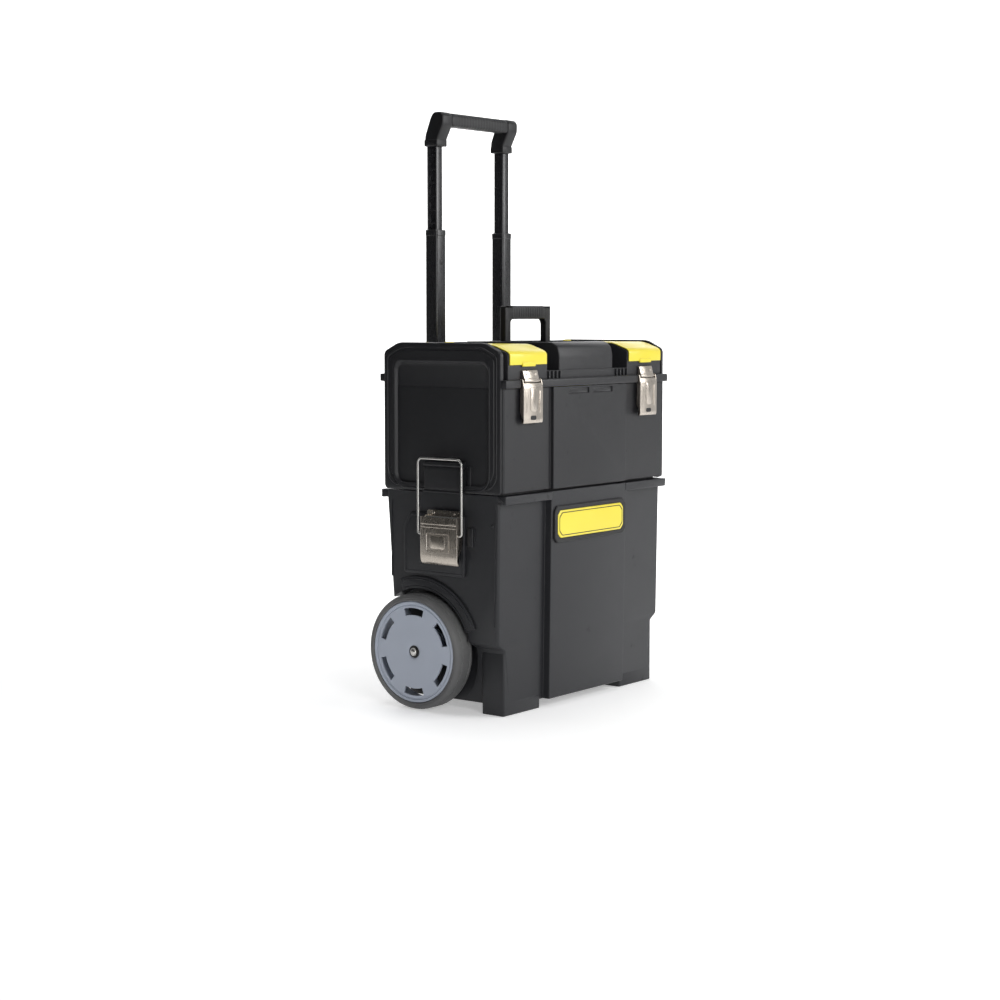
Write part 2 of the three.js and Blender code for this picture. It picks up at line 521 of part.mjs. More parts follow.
// ---------------------------------------------------------------- front latches
for (const [side, s] of SIDES) {
  const { x, half, y, pivotY, pivotZ, bottom } = FRONT_LATCH;
  const mount = box(x - half + 6, x + half - 6, FRONT_Y - 2, FRONT_Y - GAP, pivotZ - 8, pivotZ + 14)
    .add(box(x - half + 6, x + half - 6, pivotY - 2.5, FRONT_Y - 1, pivotZ + 4, pivotZ + 14))
    .add(rodX(x - half + 6, x + half - 6, pivotY, pivotZ, 2.6, 12))
    .add(box(x - half + 6, x + half - 6, pivotY - 1, FRONT_Y - 1, pivotZ - 1.5, pivotZ + 5))
    .subtract(rodX(x - half, x + half, pivotY, pivotZ, 1.7, 10));
  add(`latch_mount_${side}`, mirrored(mount, -s), FINISH.nickel);
  add(`latch_pin_${side}`, mirrored(rodX(x - half + GAP, x + half - GAP, pivotY, pivotZ, 1.3, 10), -s),
    FINISH.steel);
  const plate = box(x - half, x + half, y, y + 2, bottom, pivotZ - 4)
    .add(box(x - half, x + half, y + 1, FRONT_Y - 3, bottom, bottom + 2));
  const cheeks = [[x - half, x - half + 2], [x + half - 2, x + half]].map(([a, b]) =>
    box(a, b, y, FRONT_Y - 2.6, bottom, pivotZ + 4));
  const lever = join(plate, ...cheeks).add(box(x - 9, x + 9, y, y + 4, 462, 486))
    .subtract(rodX(x - half - 1, x + half + 1, pivotY, pivotZ, 1.8, 10));
  add(`latch_lever_${side}`, mirrored(lever, -s), FINISH.nickel);
  add(`latch_keeper_${side}`, mirrored(box(x - 17, x + 17, FRONT_Y - 2.2, FRONT_Y - GAP, 444, 486), -s),
    FINISH.steel);
}

// ---------------------------------------------------------------- side draw latches
for (const [side, s] of SIDES) {
  const { y, half, x, pivotX, pivotZ, bottom } = SIDE_LATCH;
  const pad = HALF_X + 3;
  const earX0 = pad + GAP;
  const base = box(earX0, earX0 + 2, y - half + 3, y + half - 3, 248, 306)
    .add(box(earX0, pivotX + 4, y - half + 3, y - half + 5.4, pivotZ - 9, pivotZ + 6))
    .add(box(earX0, pivotX + 4, y + half - 5.4, y + half - 3, pivotZ - 9, pivotZ + 6))
    .subtract(rodY(y - half - 5, y + half + 5, pivotX, pivotZ, 2.8, 12));
  add(`side_latch_base_${side}`, mirrored(base, -s), FINISH.nickel);
  add(`side_latch_pin_${side}`, mirrored(rodY(y - half + 2.6, y + half - 2.6, pivotX, pivotZ, 2.2, 12), -s),
    FINISH.steel);
  const face = box(x - 2, x, y - half, y + half, bottom + 8, pivotZ + 2)
    .add(box(x - 6, x, y - half + 3, y + half - 3, bottom, bottom + 9));
  const cheeks = [[y - half, y - half + 2], [y + half - 2, y + half]].map(([a, b]) =>
    box(pivotX - 4.5, x, a, b, bottom + 24, pivotZ + 2));
  const lever = join(face, ...cheeks)
    .subtract(rodY(y - half - 1, y + half + 1, pivotX, pivotZ, 2.8, 12))
    .subtract(rodY(y - half - 1, y + half + 1, WIRE.pivotX - 1, WIRE.pivotZ, 2.6, 12));
  add(`side_latch_lever_${side}`, mirrored(lever, -s), FINISH.nickel);
  // wire loop: two legs, a top bar and stubs that turn in the lever's cheeks
  const wx = WIRE.pivotX - 1;
  const bars = [];
  for (const end of [-1, 1]) {
    const leg = y + end * WIRE.half;
    const stub = y + end * (half - 3);
    bars.push(rodZ(WIRE.pivotZ, WIRE.top, wx, leg, WIRE.r), ball(wx, leg, WIRE.top, WIRE.r),
      ball(wx, leg, WIRE.pivotZ, WIRE.r),
      rodY(Math.min(leg, stub), Math.max(leg, stub), wx, WIRE.pivotZ, WIRE.r, WIRE.sides));
  }
  const wire = join(rodY(y - WIRE.half, y + WIRE.half, wx, WIRE.top, WIRE.r, WIRE.sides), ...bars);
  add(`side_latch_wire_${side}`, mirrored(wire, -s), FINISH.nickel);
}

export default part;
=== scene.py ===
"""Looks of the wheeled tool box: moulded shells, latches, wheels and the pull handle.

Sizes are millimetres in the drawing's frame (X along the axle, -Y the front, Z up), whose Y origin
lies DRAWING_Y millimetres from the row frame's. Every new piece is a numpy surface put in the row
frame in metres, and rides on the body of the CAD node it stands for.
"""

import json
import logging
import math
from dataclasses import dataclass
from enum import Enum
from typing import Callable, Sequence

import bmesh
import bpy
import numpy as np
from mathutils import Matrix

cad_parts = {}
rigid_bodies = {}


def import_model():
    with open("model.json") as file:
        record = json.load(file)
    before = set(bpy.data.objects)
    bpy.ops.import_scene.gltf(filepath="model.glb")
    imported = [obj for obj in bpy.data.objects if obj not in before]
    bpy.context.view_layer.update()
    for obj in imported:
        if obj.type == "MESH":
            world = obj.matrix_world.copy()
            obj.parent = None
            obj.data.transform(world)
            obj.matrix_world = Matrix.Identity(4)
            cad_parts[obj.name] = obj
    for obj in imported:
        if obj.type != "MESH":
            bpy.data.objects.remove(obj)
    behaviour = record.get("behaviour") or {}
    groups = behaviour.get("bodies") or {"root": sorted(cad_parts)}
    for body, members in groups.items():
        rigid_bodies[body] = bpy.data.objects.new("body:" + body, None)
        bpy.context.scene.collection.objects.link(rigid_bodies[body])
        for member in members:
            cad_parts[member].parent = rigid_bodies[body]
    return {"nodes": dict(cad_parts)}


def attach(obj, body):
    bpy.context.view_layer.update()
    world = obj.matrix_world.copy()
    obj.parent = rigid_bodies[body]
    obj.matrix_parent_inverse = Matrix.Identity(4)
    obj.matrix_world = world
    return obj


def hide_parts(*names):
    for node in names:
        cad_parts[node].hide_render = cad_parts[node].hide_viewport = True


for leftover in list(bpy.data.objects):
    bpy.data.objects.remove(leftover)
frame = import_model()

LOG = logging.getLogger("tool_box_looks")
MM = 0.001
DRAWING_Y = -3.95

MERGE = 1e-4
TREAD_DEPTH = 1.2
TIP = 0.2

Array = np.ndarray
Shell = tuple[Array, list[list[int]]]
Triple = tuple[float, float, float]
Pair = tuple[float, float]
Socket = bpy.types.NodeSocket


class Side(Enum):
    """The two sides of the box, with the sign of X on each."""

    LEFT = -1
    RIGHT = 1

    @property
    def tag(self) -> str:
        """The word that ends a node's name on this side."""
        return self.name.lower()


class Axis(Enum):
    """The axis an outline is pushed along, and where its own two axes go."""

    X = (1, 2, 0)
    Y = (0, 2, 1)
    Z = (0, 1, 2)


class Grain(Enum):
    """How a finish breaks up light: moulded grain, brushed lines or fine rubber."""

    MOULDED = "moulded"
    BRUSHED = "brushed"
    RUBBER = "rubber"


# ---------------------------------------------------------------- outlines and surfaces
def soft_polygon(points: Sequence[Pair], cuts: float | Sequence[float], steps: int = 4) -> Array:
    """Rounds a polygon's corners: each becomes an arc of a circle that touches both its edges.

    The arc is the rational quadratic curve that leaves the edge before the corner at the cut's distance
    and meets the edge after it at the same distance, with the corner as its control point and the sine of
    half the corner's angle as that point's weight.

    Args:
        points: The polygon's corners in order.
        cuts: How far each curve starts from its corner, one for all or one each.
        steps: Straight pieces in each curve.

    Returns:
        The outline's points, (steps + 1) for each corner.
    """
    corner = np.asarray(points, float)
    cut = np.broadcast_to(np.asarray(cuts, float), len(corner))[:, None]
    before = np.roll(corner, 1, 0) - corner
    after = np.roll(corner, -1, 0) - corner
    before = before / np.linalg.norm(before, axis=1, keepdims=True)
    after = after / np.linalg.norm(after, axis=1, keepdims=True)
    start, end = corner + before * cut, corner + after * cut
    weight = np.sqrt((1 - (before * after).sum(1)) / 2)[:, None, None]
    t = np.linspace(0, 1, steps + 1)[None, :, None]
    sides = (1 - t) ** 2 * start[:, None] + t**2 * end[:, None]
    pull = 2 * t * (1 - t) * weight
    curve = (sides + pull * corner[:, None]) / ((1 - t) ** 2 + t**2 + pull)
    return curve.reshape(-1, 2)


def rectangle(a0: float, a1: float, b0: float, b1: float, cut: float, steps: int = 4) -> Array:
    """A rectangle's outline with softened corners."""
    return soft_polygon([(a0, b0), (a1, b0), (a1, b1), (a0, b1)], cut, steps)


def box_plan(half: float, front: float, rear: float, panel: float, proud: float, bay: float,
             bay_y: float, corner: float) -> Array:
    """The plan of a box's wall: a proud centre panel in front and a bay for the poles behind."""
    nose = front - proud
    points = [(-half, front), (-panel, front), (-panel, nose), (panel, nose), (panel, front), (half, front),
              (half, rear), (bay, rear), (bay, bay_y), (-bay, bay_y), (-bay, rear), (-half, rear)]
    return soft_polygon(points, [corner, 1.2, 1.4, 1.4, 1.2, corner, corner, 1.5, 1.5, 1.5, 1.5, corner], 4)


def circle(radius: float, steps: int = 24, centre: Pair = (0, 0)) -> Array:
    """Points of a circle: radius times the cosine and the sine of even angles."""
    a = np.linspace(0, 2 * math.pi, steps, endpoint=False)
    return np.stack([centre[0] + radius * np.cos(a), centre[1] + radius * np.sin(a)], 1)


def inset(outline: Array, depth: float) -> Array:
    """Moves a counter-clockwise outline inward, each point along the mean of its edges' normals."""
    edge = np.roll(outline, -1, 0) - outline
    edge = edge / np.maximum(np.linalg.norm(edge, axis=1, keepdims=True), 1e-9)
    normal = np.stack([-edge[:, 1], edge[:, 0]], 1)
    both = normal + np.roll(normal, 1, 0)
    share = 1 + (normal * np.roll(normal, 1, 0)).sum(1, keepdims=True)
    area = (outline[:, 0] * np.roll(outline[:, 1], -1) - np.roll(outline[:, 0], -1) * outline[:, 1]).sum()
    return outline + both / np.maximum(share, 0.35) * depth * math.copysign(1, area)


def skin(loops: Array, closed: bool = False) -> Shell:
    """A surface ruled through loops of equal counts, capped at both ends unless it closes on itself."""
    rows, count, _ = loops.shape
    row = np.arange(rows if closed else rows - 1)[:, None]
    column = np.arange(count)[None, :]
    nxt, over = (row + 1) % rows, (column + 1) % count
    quads = np.stack([row * count + column, row * count + over, nxt * count + over,
                      nxt * count + column], -1).reshape(-1, 4).tolist()
    if not closed:
        quads += [list(range(count))[::-1], list(range((rows - 1) * count, rows * count))]
    return loops.reshape(-1, 3), quads


def placed(outline: Array, height: Array | float, axis: Axis) -> Array:
    """Lifts a flat outline into space: its two axes and the height go where the axis says."""
    out = np.zeros((len(outline), 3))
    first, second, third = axis.value
    out[:, first], out[:, second], out[:, third] = outline[:, 0], outline[:, 1], height
    return out


def slab(outline: Array, low: float, high: float, axis: Axis, soft: float = 0.8, turns: int = 3) -> Shell:
    """An outline pushed along an axis, its two end faces rounded off by quarter circles.

    Args:
        outline: The section, in the axis's own two coordinates.
        low: Where the body starts along the axis.
        high: Where it ends.
        axis: The axis it is pushed along.
        soft: Radius of the rounding at both ends.
        turns: Straight pieces in each quarter circle.
    """
    a = np.linspace(0, math.pi / 2, turns + 1)
    inward = soft * (1 - np.sin(a))
    along = soft * (1 - np.cos(a))
    depths = np.concatenate([inward, inward[::-1]])
    heights = np.concatenate([low + along, high - along[::-1]])
    return skin(np.stack([placed(inset(outline, d), h, axis) for d, h in zip(depths, heights)]))


def stacked(levels: Sequence[tuple[Array, float]], axis: Axis, closed: bool = False) -> Shell:
    """A surface through outlines of equal counts, each at its own height along an axis."""
    return skin(np.stack([placed(outline, height, axis) for outline, height in levels]), closed)


def lathed(profile: Array, centre: Pair, steps: int,
           ripple: Callable[[Array, Array], Array] | None = None) -> Shell:
    """A closed profile of (x, radius) turned about an axis along X.

    Args:
        profile: The section, as x and radius.
        centre: The axis's Y and Z.
        steps: Slices round the axis.
        ripple: Adds to the radius of the tread, as a function of the angle and x.
    """
    a = np.linspace(0, 2 * math.pi, steps, endpoint=False)[:, None]
    x = np.broadcast_to(profile[None, :, 0], (steps, len(profile)))
    r = np.broadcast_to(profile[None, :, 1], x.shape)
    if ripple is not None:
        r = r + ripple(a, x) * (r > r.max() - TREAD_DEPTH)
    return skin(np.stack([x, centre[0] + r * np.cos(a), centre[1] + r * np.sin(a)], -1), closed=True)


def carried(path: Array, section: Array, across: Triple, closed: bool = False) -> Shell:
    """A section carried along a flat path: its first axis lies across the path's plane.

    Args:
        path: Points of the path, (m, 3).
        section: The section's outline, (n, 2).
        across: The unit normal of the path's plane.
        closed: Whether the path ends where it starts.
    """
    step = np.roll(path, -1, 0) - np.roll(path, 1, 0) if closed else np.gradient(path, axis=0)
    tangent = step / np.linalg.norm(step, axis=1, keepdims=True)
    side = np.broadcast_to(np.asarray(across, float), path.shape)
    up = np.cross(tangent, side)
    first, second = section[None, :, 0, None], section[None, :, 1, None]
    loops = path[:, None] + first * side[:, None] + second * up[:, None]
    return skin(loops, closed)


def head(centre: Pair, radius: float, base: float, foot: float, rise: float, axis: Axis, steps: int = 20,
         turns: int = 5) -> Shell:
    """A round head: rings whose radius falls with the cosine while their height grows with the sine.

    Args:
        centre: The head's middle, in the axis's own two coordinates.
        radius: Its radius where it starts.
        base: Where it starts along the axis.
        foot: Where its stub ends, sunk in what it stands on.
        rise: How far it bulges, with its sign.
        axis: The axis it points along.
        steps: Points round it.
        turns: Rings from its edge to its top.
    """
    a = np.linspace(0, math.pi / 2, turns)
    rings = [(circle(max(radius * math.cos(t), TIP), steps, centre), base + rise * math.sin(t)) for t in a]
    return stacked([(rings[0][0], foot), *rings], axis)


def raised_frame(outline: Array, depths: Sequence[float], base: float, top: float, axis: Axis) -> Shell:
    """A low ridge along an outline: it rises, runs flat and falls again at the four inward depths."""
    levels = [(inset(outline, depth), height) for depth, height in zip(depths, (base, top, top, base))]
    return stacked(levels, axis, True)


def flipped(shell: Shell) -> Shell:
    """The shell mirrored through the plane X = 0."""
    points, faces = shell
    return points * np.array([-1.0, 1.0, 1.0]), faces


def on_side(side: Side, shells: Sequence[Shell]) -> list[Shell]:
    """Shells drawn on the right side, moved to the given side."""
    return [flipped(s) if side is Side.LEFT else s for s in shells]


def clean_mesh(name: str, points: Array, faces: list[list[int]], merge: float) -> bpy.types.Mesh:
    """A mesh whose points nearer than a distance are merged and whose faces all look outward."""
    mesh = bpy.data.meshes.new(name)
    mesh.from_pydata(points.tolist(), [], faces)
    work = bmesh.new()
    work.from_mesh(mesh)
    bmesh.ops.remove_doubles(work, verts=work.verts, dist=merge)
    bmesh.ops.recalc_face_normals(work, faces=work.faces)
    work.to_mesh(mesh)
    work.free()
    return mesh


def linked(name: str, data: bpy.types.ID) -> bpy.types.Object:
    """An object that holds some data, linked to the scene."""
    piece = bpy.data.objects.new(name, data)
    bpy.context.collection.objects.link(piece)
    return piece


def carved(block: Shell, cuts: Sequence[Shell], joins: Sequence[Shell] = ()) -> Shell:
    """A block joined with some shells and then cut by others, as one closed shell.

    Args:
        block: The shell that is worked on.
        cuts: Shells taken away from it.
        joins: Shells melted into it first.
    """
    def bare(name: str, shell: Shell) -> bpy.types.Object:
        """A plain object made from a shell, still in millimetres."""
        return linked(name, clean_mesh(name, *shell, MERGE))

    work = bare("carving", block)
    tools = [(bare("tool", shell), "UNION") for shell in joins]
    tools += [(bare("tool", shell), "DIFFERENCE") for shell in cuts]
    for tool, operation in tools:
        step = work.modifiers.new(operation, "BOOLEAN")
        step.object, step.operation, step.solver = tool, operation, "EXACT"
    bpy.context.view_layer.update()
    done = work.evaluated_get(bpy.context.evaluated_depsgraph_get()).to_mesh()
    points = np.empty(len(done.vertices) * 3)
    done.vertices.foreach_get("co", points)
    faces = [list(face.vertices) for face in done.polygons]
    work.to_mesh_clear()
    for piece in [work, *(tool for tool, _ in tools)]:
        bpy.data.objects.remove(piece)
    return points.reshape(-1, 3), faces


def both_sides(shell: Shell) -> list[Shell]:
    """A shell drawn on the right and its mirror image on the left."""
    return [shell, flipped(shell)]


def block(x0: float, x1: float, y0: float, y1: float, z0: float, z1: float, cut: float = 0.5,
          soft: float = 0.3) -> Shell:
    """A box-like body: a cut softens the corners of its plan, a radius its top and bottom edges."""
    return slab(rectangle(x0, x1, y0, y1, cut, 3), z0, z1, Axis.Z, soft, 2)


# ---------------------------------------------------------------- finishes
MADE: dict[str, bpy.types.Material] = {}
EDGE_REACH = 0.0009
GRAIN_DEPTH = 0.0004
COAT_ROUGHNESS = 0.12


@dataclass(frozen=True)
class Finish:
    """A procedural finish: two tones, a grain, roughness that varies, and wear along edges.

    Attributes:
        name: The finish's own name.
        slot: The name of the part record's material slot that it stands for; not used.
        tone: The colour where the slow noise is low.
        tone_b: The colour where it is high.
        worn: The colour along worn edges.
        rough: The roughness where the surface is smooth.
        rough_b: The roughness where it is smudged.
        grain: How the surface is broken up.
        grain_scale: How fine the grain is.
        bump: How strongly the grain stands out.
        metal: One for a metal, nothing for anything else.
        specular: The strength of the mirror-like part.
        coat: The weight of a clear coat.
        wear: How much of an edge is worn.
    """

    name: str
    slot: str
    tone: Triple
    tone_b: Triple
    worn: Triple
    rough: float
    rough_b: float
    grain: Grain = Grain.MOULDED
    grain_scale: float = 1400.0
    bump: float = 0.25
    metal: float = 0.0
    specular: float = 0.5
    coat: float = 0.0
    wear: float = 0.35

    def material(self) -> bpy.types.Material:
        """The finish's material, made once and then reused."""
        if self.name in MADE:
            return MADE[self.name]
        mat = bpy.data.materials.new(f"{self.name}_finish")
        MADE[self.name] = mat
        mat.use_nodes = True
        nodes, links = mat.node_tree.nodes, mat.node_tree.links
        shader = nodes["Principled BSDF"]
        shader.inputs["Metallic"].default_value = self.metal
        shader.inputs["Specular IOR Level"].default_value = self.specular
        shader.inputs["Coat Weight"].default_value = self.coat
        shader.inputs["Coat Roughness"].default_value = COAT_ROUGHNESS
        where = nodes.new("ShaderNodeTexCoord").outputs["Object"]

        def noise(scale: float, detail: float, stretch: Triple = (1, 1, 1)) -> Socket:
            """A noise in the object's own coordinates, stretched by a mapping."""
            mapping = nodes.new("ShaderNodeMapping")
            mapping.inputs["Scale"].default_value = stretch
            links.new(where, mapping.inputs["Vector"])
            tex = nodes.new("ShaderNodeTexNoise")
            tex.inputs["Scale"].default_value = scale
            tex.inputs["Detail"].default_value = detail
            links.new(mapping.outputs["Vector"], tex.inputs["Vector"])
            return tex.outputs["Fac"]

        def ranged(value: Socket, a0: float, a1: float, b0: float, b1: float) -> Socket:
            """The value carried from the range a0..a1 to b0..b1, and held at its ends."""
            node = nodes.new("ShaderNodeMapRange")
            for label, number in zip(("From Min", "From Max", "To Min", "To Max"), (a0, a1, b0, b1)):
                node.inputs[label].default_value = number
            links.new(value, node.inputs["Value"])
            return node.outputs["Result"]

        def blend(factor: Socket, a: Socket | Triple, b: Triple) -> Socket:
            """One colour blended into another by a factor."""
            node = nodes.new("ShaderNodeMix")
            node.data_type = "RGBA"
            links.new(factor, node.inputs[0])
            for socket, colour in ((node.inputs[6], a), (node.inputs[7], b)):
                if isinstance(colour, Socket):
                    links.new(colour, socket)
                else:
                    socket.default_value = (*colour, 1)
            return node.outputs[2]

        def joined(a: Socket, b: Socket, kind: str = "ADD") -> Socket:
            """Two numbers put together by a math node, clamped to 0..1."""
            node = nodes.new("ShaderNodeMath")
            node.operation, node.use_clamp = kind, True
            for socket, value in zip(node.inputs, (a, b)):
                links.new(value, socket)
            return node.outputs[0]

        cloud = noise(7, 3)
        smudge = noise(16, 4)
        fine = noise(self.grain_scale, 2)
        colour = blend(ranged(cloud, 0.35, 0.68, 0, 1), self.tone, self.tone_b)
        rough = ranged(joined(smudge, cloud, "MULTIPLY"), 0.05, 0.50, self.rough, self.rough_b)
        # worn edges: where a rounded normal turns away from the true one, broken up by a noise
        rounded = nodes.new("ShaderNodeBevel")
        rounded.samples = 4
        rounded.inputs["Radius"].default_value = EDGE_REACH
        facing = nodes.new("ShaderNodeVectorMath")
        facing.operation = "DOT_PRODUCT"
        links.new(rounded.outputs["Normal"], facing.inputs[0])
        links.new(nodes.new("ShaderNodeNewGeometry").outputs["Normal"], facing.inputs[1])
        edge = ranged(facing.outputs["Value"], 0.985, 0.86, 0, 1)
        patch = ranged(noise(90, 4), 0.42, 0.62, 0, self.wear)
        worn = joined(edge, patch, "MULTIPLY")
        colour = blend(worn, colour, self.worn)
        if self.grain is Grain.BRUSHED:
            lines = noise(260, 2, (5, 5, 0.3))
            rough = joined(rough, ranged(lines, 0.3, 0.7, 0, 0.08))
            height = lines
        elif self.grain is Grain.RUBBER:
            height = joined(fine, ranged(smudge, 0.3, 0.7, 0, 0.4))
        else:
            cells = nodes.new("ShaderNodeTexVoronoi")
            cells.inputs["Scale"].default_value = self.grain_scale * 0.55
            links.new(where, cells.inputs["Vector"])
            height = joined(fine, ranged(cells.outputs["Distance"], 0, 0.8, 0, 0.45))
            # faint handling scratches
            scratch = ranged(noise(60, 6, (1, 14, 0.7)), 0.66, 0.72, 0, 0.16)
            rough = joined(rough, scratch)
        bump = nodes.new("ShaderNodeBump")
        bump.inputs["Strength"].default_value = self.bump
        bump.inputs["Distance"].default_value = GRAIN_DEPTH
        links.new(height, bump.inputs["Height"])
        links.new(colour, shader.inputs["Base Color"])
        links.new(rough, shader.inputs["Roughness"])
        links.new(bump.outputs["Normal"], shader.inputs["Normal"])
        return mat


BIN_PLASTIC = Finish(
    "bin_plastic", "bin_shell", rough=0.40, rough_b=0.47, specular=0.36,
    tone=(0.0150, 0.0155, 0.0180), tone_b=(0.0175, 0.0180, 0.0205), worn=(0.06, 0.06, 0.065))
BOX_PLASTIC = Finish(
    "box_plastic", "box_shell", rough=0.38, rough_b=0.45, specular=0.34,
    tone=(0.0120, 0.0122, 0.0140), tone_b=(0.0140, 0.0142, 0.0160), worn=(0.05, 0.05, 0.055))
LID_PLASTIC = Finish(
    "lid_plastic", "box_shell", rough=0.38, rough_b=0.46, specular=0.36,
    tone=(0.0140, 0.0142, 0.0160), tone_b=(0.0160, 0.0162, 0.0180), worn=(0.06, 0.06, 0.065))
BLACK_PLASTIC = Finish(
    "black_plastic", "black_plastic", rough=0.38, rough_b=0.48, specular=0.34,
    tone=(0.0085, 0.0085, 0.0095), tone_b=(0.011, 0.011, 0.012), worn=(0.045, 0.045, 0.045))
GRIP_RUBBER = Finish(
    "grip_rubber", "grip_rubber", rough=0.46, rough_b=0.60, specular=0.36,
    grain=Grain.RUBBER, grain_scale=1800, bump=0.4,
    tone=(0.010, 0.010, 0.011), tone_b=(0.015, 0.015, 0.016), worn=(0.05, 0.05, 0.05))
YELLOW_PLASTIC = Finish(
    "yellow_plastic", "yellow_plastic", rough=0.30, rough_b=0.44, coat=0.15, wear=0.2,
    grain_scale=1600, bump=0.15,
    tone=(0.70, 0.585, 0.030), tone_b=(0.75, 0.635, 0.042), worn=(0.93, 0.88, 0.35))
TRAY_PLASTIC = Finish(
    "tray_plastic", "tray_plastic", rough=0.42, rough_b=0.56, grain_scale=1200,
    tone=(0.72, 0.62, 0.04), tone_b=(0.80, 0.70, 0.06), worn=(0.9, 0.85, 0.4))
HUB_PLASTIC = Finish(
    "hub_plastic", "hub_plastic", rough=0.42, rough_b=0.54, grain_scale=1300, bump=0.3,
    tone=(0.36, 0.395, 0.465), tone_b=(0.39, 0.425, 0.495), worn=(0.52, 0.55, 0.60))
TYRE_RUBBER = Finish(
    "tyre_rubber", "tyre_rubber", rough=0.66, rough_b=0.86, wear=0.6,
    grain=Grain.RUBBER, grain_scale=900, bump=0.6,
    tone=(0.075, 0.075, 0.077), tone_b=(0.150, 0.150, 0.148), worn=(0.24, 0.24, 0.235))
POLE_METAL = Finish(
    "pole_metal", "pole_metal", rough=0.22, rough_b=0.27, specular=0.6, wear=0.1,
    grain=Grain.BRUSHED, grain_scale=900, bump=0.02,
    tone=(0.011, 0.011, 0.013), tone_b=(0.014, 0.014, 0.016), worn=(0.06, 0.06, 0.06))
BRIGHT_STEEL = Finish(
    "bright_steel", "bright_steel", rough=0.20, rough_b=0.34, metal=1.0,
    grain=Grain.BRUSHED, grain_scale=900, bump=0.08,
    tone=(0.50, 0.49, 0.47), tone_b=(0.60, 0.59, 0.56), worn=(0.85, 0.84, 0.82))
NICKEL = Finish(
    "nickel", "nickel", rough=0.16, rough_b=0.34, metal=1.0,
    grain=Grain.BRUSHED, grain_scale=900, bump=0.06,
    tone=(0.40, 0.36, 0.315), tone_b=(0.54, 0.49, 0.43), worn=(0.85, 0.82, 0.77))


# ---------------------------------------------------------------- putting meshes in
def put(name: str, shells: Sequence[Shell], finish: Finish, body: str, replaces: Sequence[str] = (),
        bevel: float = 0.0, crease: float = 35.0) -> bpy.types.Object:
    """Makes one piece out of shells, dresses it and lets it ride on its body.

    Args:
        name: The piece's name.
        shells: Its surfaces, in drawing millimetres.
        finish: What it is dressed in.
        body: The CAD body it moves with.
        replaces: CAD nodes it stands for.
        bevel: Width of a live bevel on its sharp edges, or nothing.
        crease: Angle in degrees past which an edge counts as sharp.

    Returns:
        The piece.
    """
    offsets = np.cumsum([0] + [len(points) for points, _ in shells[:-1]])
    verts = np.concatenate([points for points, _ in shells])
    verts = (verts + np.array([0, DRAWING_Y, 0])) * MM
    faces = [[i + int(start) for i in face] for start, (_, some) in zip(offsets, shells) for face in some]
    mesh = clean_mesh(name, verts, faces, MERGE * MM)
    mesh.shade_smooth()
    mesh.set_sharp_from_angle(angle=math.radians(crease))
    mesh.materials.append(finish.material())
    piece = linked(name, mesh)
    if bevel:
        soften(piece, bevel, crease)
    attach(piece, body)
    if replaces:
        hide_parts(*replaces)
    LOG.info("%s: %d faces on %s", name, len(mesh.polygons), body)
    return piece


def soften(piece: bpy.types.Object, width: float, crease: float = 35.0, segments: int = 2) -> None:
    """Gives a piece a live bevel, in millimetres, on edges sharper than the crease angle."""
    bevel = piece.modifiers.new("soft_edges", "BEVEL")
    bevel.width = width * MM
    bevel.segments = segments
    bevel.limit_method = "ANGLE"
    bevel.angle_limit = math.radians(crease)
    bevel.harden_normals = True


def dress(node: str, finish: Finish, width: float = 0.0) -> None:
    """Keeps a CAD node as it is, in a finish, with its loose triangles merged and its edges eased."""
    piece = frame["nodes"][node]
    piece.data.materials.clear()
    piece.data.materials.append(finish.material())
    weld = piece.modifiers.new("merge", "WELD")
    weld.merge_threshold = 1e-5
    if width:
        flat = piece.modifiers.new("flat_faces", "DECIMATE")
        flat.decimate_type = "DISSOLVE"
        flat.angle_limit = math.radians(1.5)
        soften(piece, width, 32)
        piece.modifiers["soft_edges"].use_clamp_overlap = False
    even = piece.modifiers.new("even_shading", "WEIGHTED_NORMAL")
    even.keep_sharp = True
    LOG.info("%s: kept, in %s", node, finish.name)


